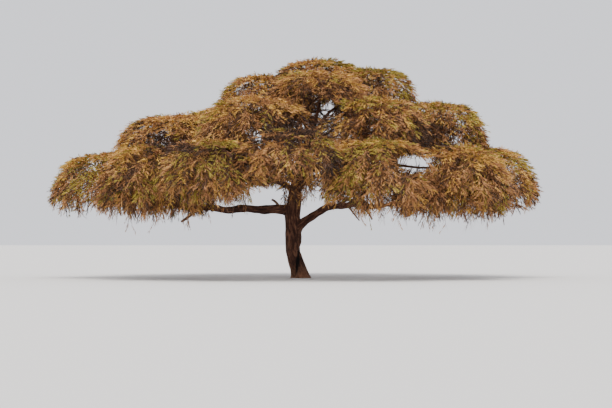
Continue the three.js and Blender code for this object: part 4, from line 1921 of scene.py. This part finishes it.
        root = on_line(at * length)
        along = unit(on_line(at * length + 0.05) - on_line(at * length - 0.05))
        side = unit(np.cross(along, UP) + 1e-4)
        over = np.cross(side, along)
        sign = np.where(np.arange(count) % 2 == 0, 1.0, -1.0)
        roll = rng.normal(0.2, 0.65, count)
        out = side * (sign * np.cos(roll))[:, None] + over * np.sin(roll)[:, None]
        lean = np.radians(lerp(*rule.twig_lean, at) + rng.normal(0, 13, count))
        way = unit(along * np.cos(lean)[:, None] + out * np.sin(lean)[:, None])
        reach = rule.twig_length * lerp(1.1, 0.8, at) * rng.uniform(0.7, 1.25, count)
        steep = np.abs(way[:, 2]) > 0.9
        way[:, 2] *= np.where(steep, 1.0, kind.flatness)
        way = unit(way)
        middle = root + way * (0.5 * reach)[:, None] - UP * (kind.sag * 0.22 * reach)[:, None]
        tip = root + way * (0.97 * reach)[:, None] - UP * (kind.sag * reach)[:, None]
        inside = mass.level(tip, rule.proud_aside, rule.proud_above + kind.beyond) < 1
        keep = inside & self.clear(tip) & self.clear(middle)
        if not keep.any():
            return
        points = np.stack([root, tip], axis=1)[keep]
        radii = np.array([rule.twig_radius, 0.0])[None].repeat(len(points), 0)
        change = rng.choice(3, len(points), p=self.tints.change)
        darker = min(max(tint, 2) + 1, len(Tint) - 1)
        lighter = max(tint - 1, min(tint, 1))
        tints = np.select([change == 1, change == 2], [darker, lighter], tint)
        bare = rng.uniform(0, 1, len(points)) < kind.bare
        self.twigs.add(points, radii, np.where(bare, BARE, tints))

    def leaf_pairs(self) -> dict[Tint, np.ndarray]:
        """Sets pairs of leaves along the leafy twigs.

        Returns:
            For each tint, the five points of every pair: its root, and each leaf's widest place and tip.
        """
        rule, rng = self.rule, self.random
        points, _, kinds = self.twigs.arrays()
        points, kinds = points[kinds != BARE], kinds[kinds != BARE]
        many = (len(points), rule.leaf_count)
        share = (np.arange(rule.leaf_count) + 0.3 + rng.uniform(-0.3, 0.3, many)) / rule.leaf_count
        root, way = points[:, None, 0], (points[:, 1] - points[:, 0])[:, None]
        at = root + way * share[..., None]
        along = unit(way) + np.zeros((*many, 1))
        side = unit(np.cross(along, UP) + 1e-4)
        over = np.cross(side, along)
        roll = rng.normal(0, 0.8, many)
        length = rule.leaf_length * rng.uniform(0.7, 1.25, many) * (1.1 - 0.35 * share)
        parts = [at]
        for half_turn in (0, math.pi):
            turned = roll + half_turn + rng.normal(0, 0.35, many)
            out = side * np.cos(turned)[..., None] + over * np.sin(turned)[..., None]
            lean = np.radians(rng.normal(rule.leaf_lean, 7, many))[..., None]
            leaf = along * np.cos(lean) + out * np.sin(lean)
            face = rng.normal(0, 1, (*many, 3))
            across = unit(face - leaf * (face * leaf).sum(-1, keepdims=True))
            widest = leaf * rule.leaf_widest + across * rule.leaf_width
            parts += [at + widest * length[..., None], at + leaf * length[..., None]]
        pairs = np.stack(parts, axis=2)
        return {tint: pairs[kinds == index].reshape(-1, 5, 3) for index, tint in enumerate(Tint)}

    def place_strands(
        self, name: str, finish: MottledFinish, points: np.ndarray, radii: np.ndarray
    ) -> None:
        """Makes the pieces of one kind of wood, none of them over the limit of triangles.

        Args:
            name: The name of the piece, or of each with its number.
            finish: Its finish.
            points: The strands' points.
            radii: The strands' radii.
        """
        per = 6 * (points.shape[1] - 2) + 3
        pieces = math.ceil(len(points) * per / MOST_TRIANGLES)
        for part, chosen in enumerate(np.array_split(np.arange(len(points)), pieces)):
            title = name if pieces == 1 else f"{name}_{part + 1}"
            mesh = strand_mesh(title, points[chosen], radii[chosen])
            finish_piece(add_object(title, mesh), finish, FOLIAGE_NODES)

    def place_leaves(self, tint: Tint, pairs: np.ndarray) -> None:
        """Makes the pieces of one colour of leaf, none of them over the limit of triangles.

        Args:
            tint: The colour.
            pairs: The five points of each pair of leaves.
        """
        pieces = math.ceil(len(pairs) * 2 / MOST_TRIANGLES)
        for part, chosen in enumerate(np.array_split(pairs, pieces)):
            title = f"leaves_{tint.value}" if pieces == 1 else f"leaves_{tint.value}_{part + 1}"
            faces = np.array([[0, 1, 2], [0, 3, 4]])[None] + 5 * np.arange(len(chosen))[:, None, None]
            mesh = triangle_mesh(title, chosen.reshape(-1, 3), faces.reshape(-1, 3), False)
            finish_piece(add_object(title, mesh), LEAVES[tint], FOLIAGE_NODES)

    def build(self) -> None:
        """Grows all of the masses and makes their pieces."""
        for index, mass in enumerate(CROWN):
            self.grow_mass(mass, index)
        self.grow_side_branch(SIDE_BRANCH)
        wood = {"branches": self.branches, "branchlets": self.branchlets, "sprays": self.sprays}
        for name, strands in wood.items():
            points, radii, _ = strands.arrays()
            self.place_strands(name, BRANCH, points, radii)
        points, radii, kinds = self.twigs.arrays()
        # Light twigs are dealt by the leaves' tint, so they follow its painted shade.
        light = self.random.uniform(0, 1, len(points)) < np.array(self.tints.light_twigs)[kinds]
        leafy = kinds != BARE
        self.place_strands("bare_twigs", TWIGS["dark"], points[~leafy], radii[~leafy])
        for name, chosen in (("light", light & leafy), ("dark", ~light & leafy)):
            self.place_strands(f"twigs_{name}", TWIGS[name], points[chosen], radii[chosen])
        for tint, pairs in self.leaf_pairs().items():
            self.place_leaves(tint, pairs)
        LOG.info("sprays %d, twigs %d", sum(len(s) for s in self.sprays.points), len(points))


@dataclass
class Studio:
    """The pale floor, the soft light and the camera."""

    camera_at: tuple[float, float, float] = (0.275, -80.0, 1.7)
    aim: tuple[float, float, float] = (0.275, 0.0, 3.394)
    lens: float = 102.6
    sensor: float = 36.0
    sight: float = 2000.0
    floor_size: float = 600.0
    floor_colour: Colour = Colour(0.62, 0.61, 0.6)
    floor_roughness: float = 0.9
    surround_colour: Colour = Colour(0.93, 0.94, 1.0)
    surround_strength: float = 1.25
    sun_colour: Colour = Colour(1.0, 0.96, 0.9)
    sun_strength: float = 4.8
    sun_width: float = 45.0
    sun_turn: tuple[float, float, float] = (27.0, -3.0, 0.0)

    def build(self) -> None:
        """Sets up the floor, the light and the camera."""
        self.floor()
        self.light()
        self.camera()

    def floor(self) -> None:
        """Lays the floor."""
        bm = bmesh.new()
        bmesh.ops.create_grid(bm, x_segments=1, y_segments=1, size=self.floor_size)
        mesh = bpy.data.meshes.new("floor")
        bm.to_mesh(mesh)
        bm.free()
        floor = add_object("floor", mesh)
        s = Shader("floor")
        s.set("Base Color", self.floor_colour)
        s.set("Roughness", self.floor_roughness)
        mesh.materials.append(s.material)

    def light(self) -> None:
        """Hangs a broad soft light over a pale surround."""
        world = bpy.data.worlds.new("surround")
        world.use_nodes = True
        back = world.node_tree.nodes["Background"]
        back.inputs["Color"].default_value = self.surround_colour.rgba
        back.inputs["Strength"].default_value = self.surround_strength
        bpy.context.scene.world = world
        lamp = bpy.data.lights.new("soft_sun", "SUN")
        lamp.energy = self.sun_strength
        lamp.angle = math.radians(self.sun_width)
        lamp.color = self.sun_colour.rgba[:3]
        sun = add_object("soft_sun", lamp)
        sun.rotation_euler = [math.radians(turn) for turn in self.sun_turn]

    def camera(self) -> None:
        """Places the camera where the tree is seen from."""
        data = bpy.data.cameras.new("camera")
        data.lens = self.lens
        data.sensor_width = self.sensor
        data.clip_end = self.sight
        camera = add_object("camera", data)
        camera.location = self.camera_at
        way = Vector(self.aim) - Vector(self.camera_at)
        camera.rotation_euler = way.to_track_quat("-Z", "Y").to_euler()
        bpy.context.scene.camera = camera


def grow_limbs(growth: GrowthRule, trunk: TrunkForm) -> tuple[dict[str, Limb], dict[str, Limb]]:
    """The trunk and the boughs, and the dead snags, by name.

    Args:
        growth: The rule that the boughs follow.
        trunk: The trunk's form.

    Returns:
        The limbs and the snags.
    """
    limbs = {"trunk": trunk.limb()}
    for index, mass in enumerate(CROWN):
        limbs[mass.name] = growth.bough(mass, index, limbs)
    snags = {}
    for snag in SNAGS:
        start = limbs[snag.parent].place(snag.share)[0]
        end = np.array(snag.to)
        points = [start, lerp(start, end, 0.5) + np.array(snag.bend), end]
        snags[snag.name] = Limb(
            snag.name,
            lambda s, points=points: bezier(points, s),
            lambda s, radii=snag.radii: lerp(*radii, s),
            3,
        )
    return limbs, snags


def main() -> None:
    """Loads the frame and builds the tree, the floor, the light and the camera."""
    logging.basicConfig(level=logging.INFO, format="%(name)s: %(message)s")
    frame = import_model()
    LOG.info("the frame has %d solids", len(frame["nodes"]))
    growth, trunk = GrowthRule(), TrunkForm()
    limbs, snags = grow_limbs(growth, trunk)
    Wood(limbs, snags, trunk).build()
    Crown(limbs, growth).build()
    Studio().build()


if __name__ == "__main__":
    main()
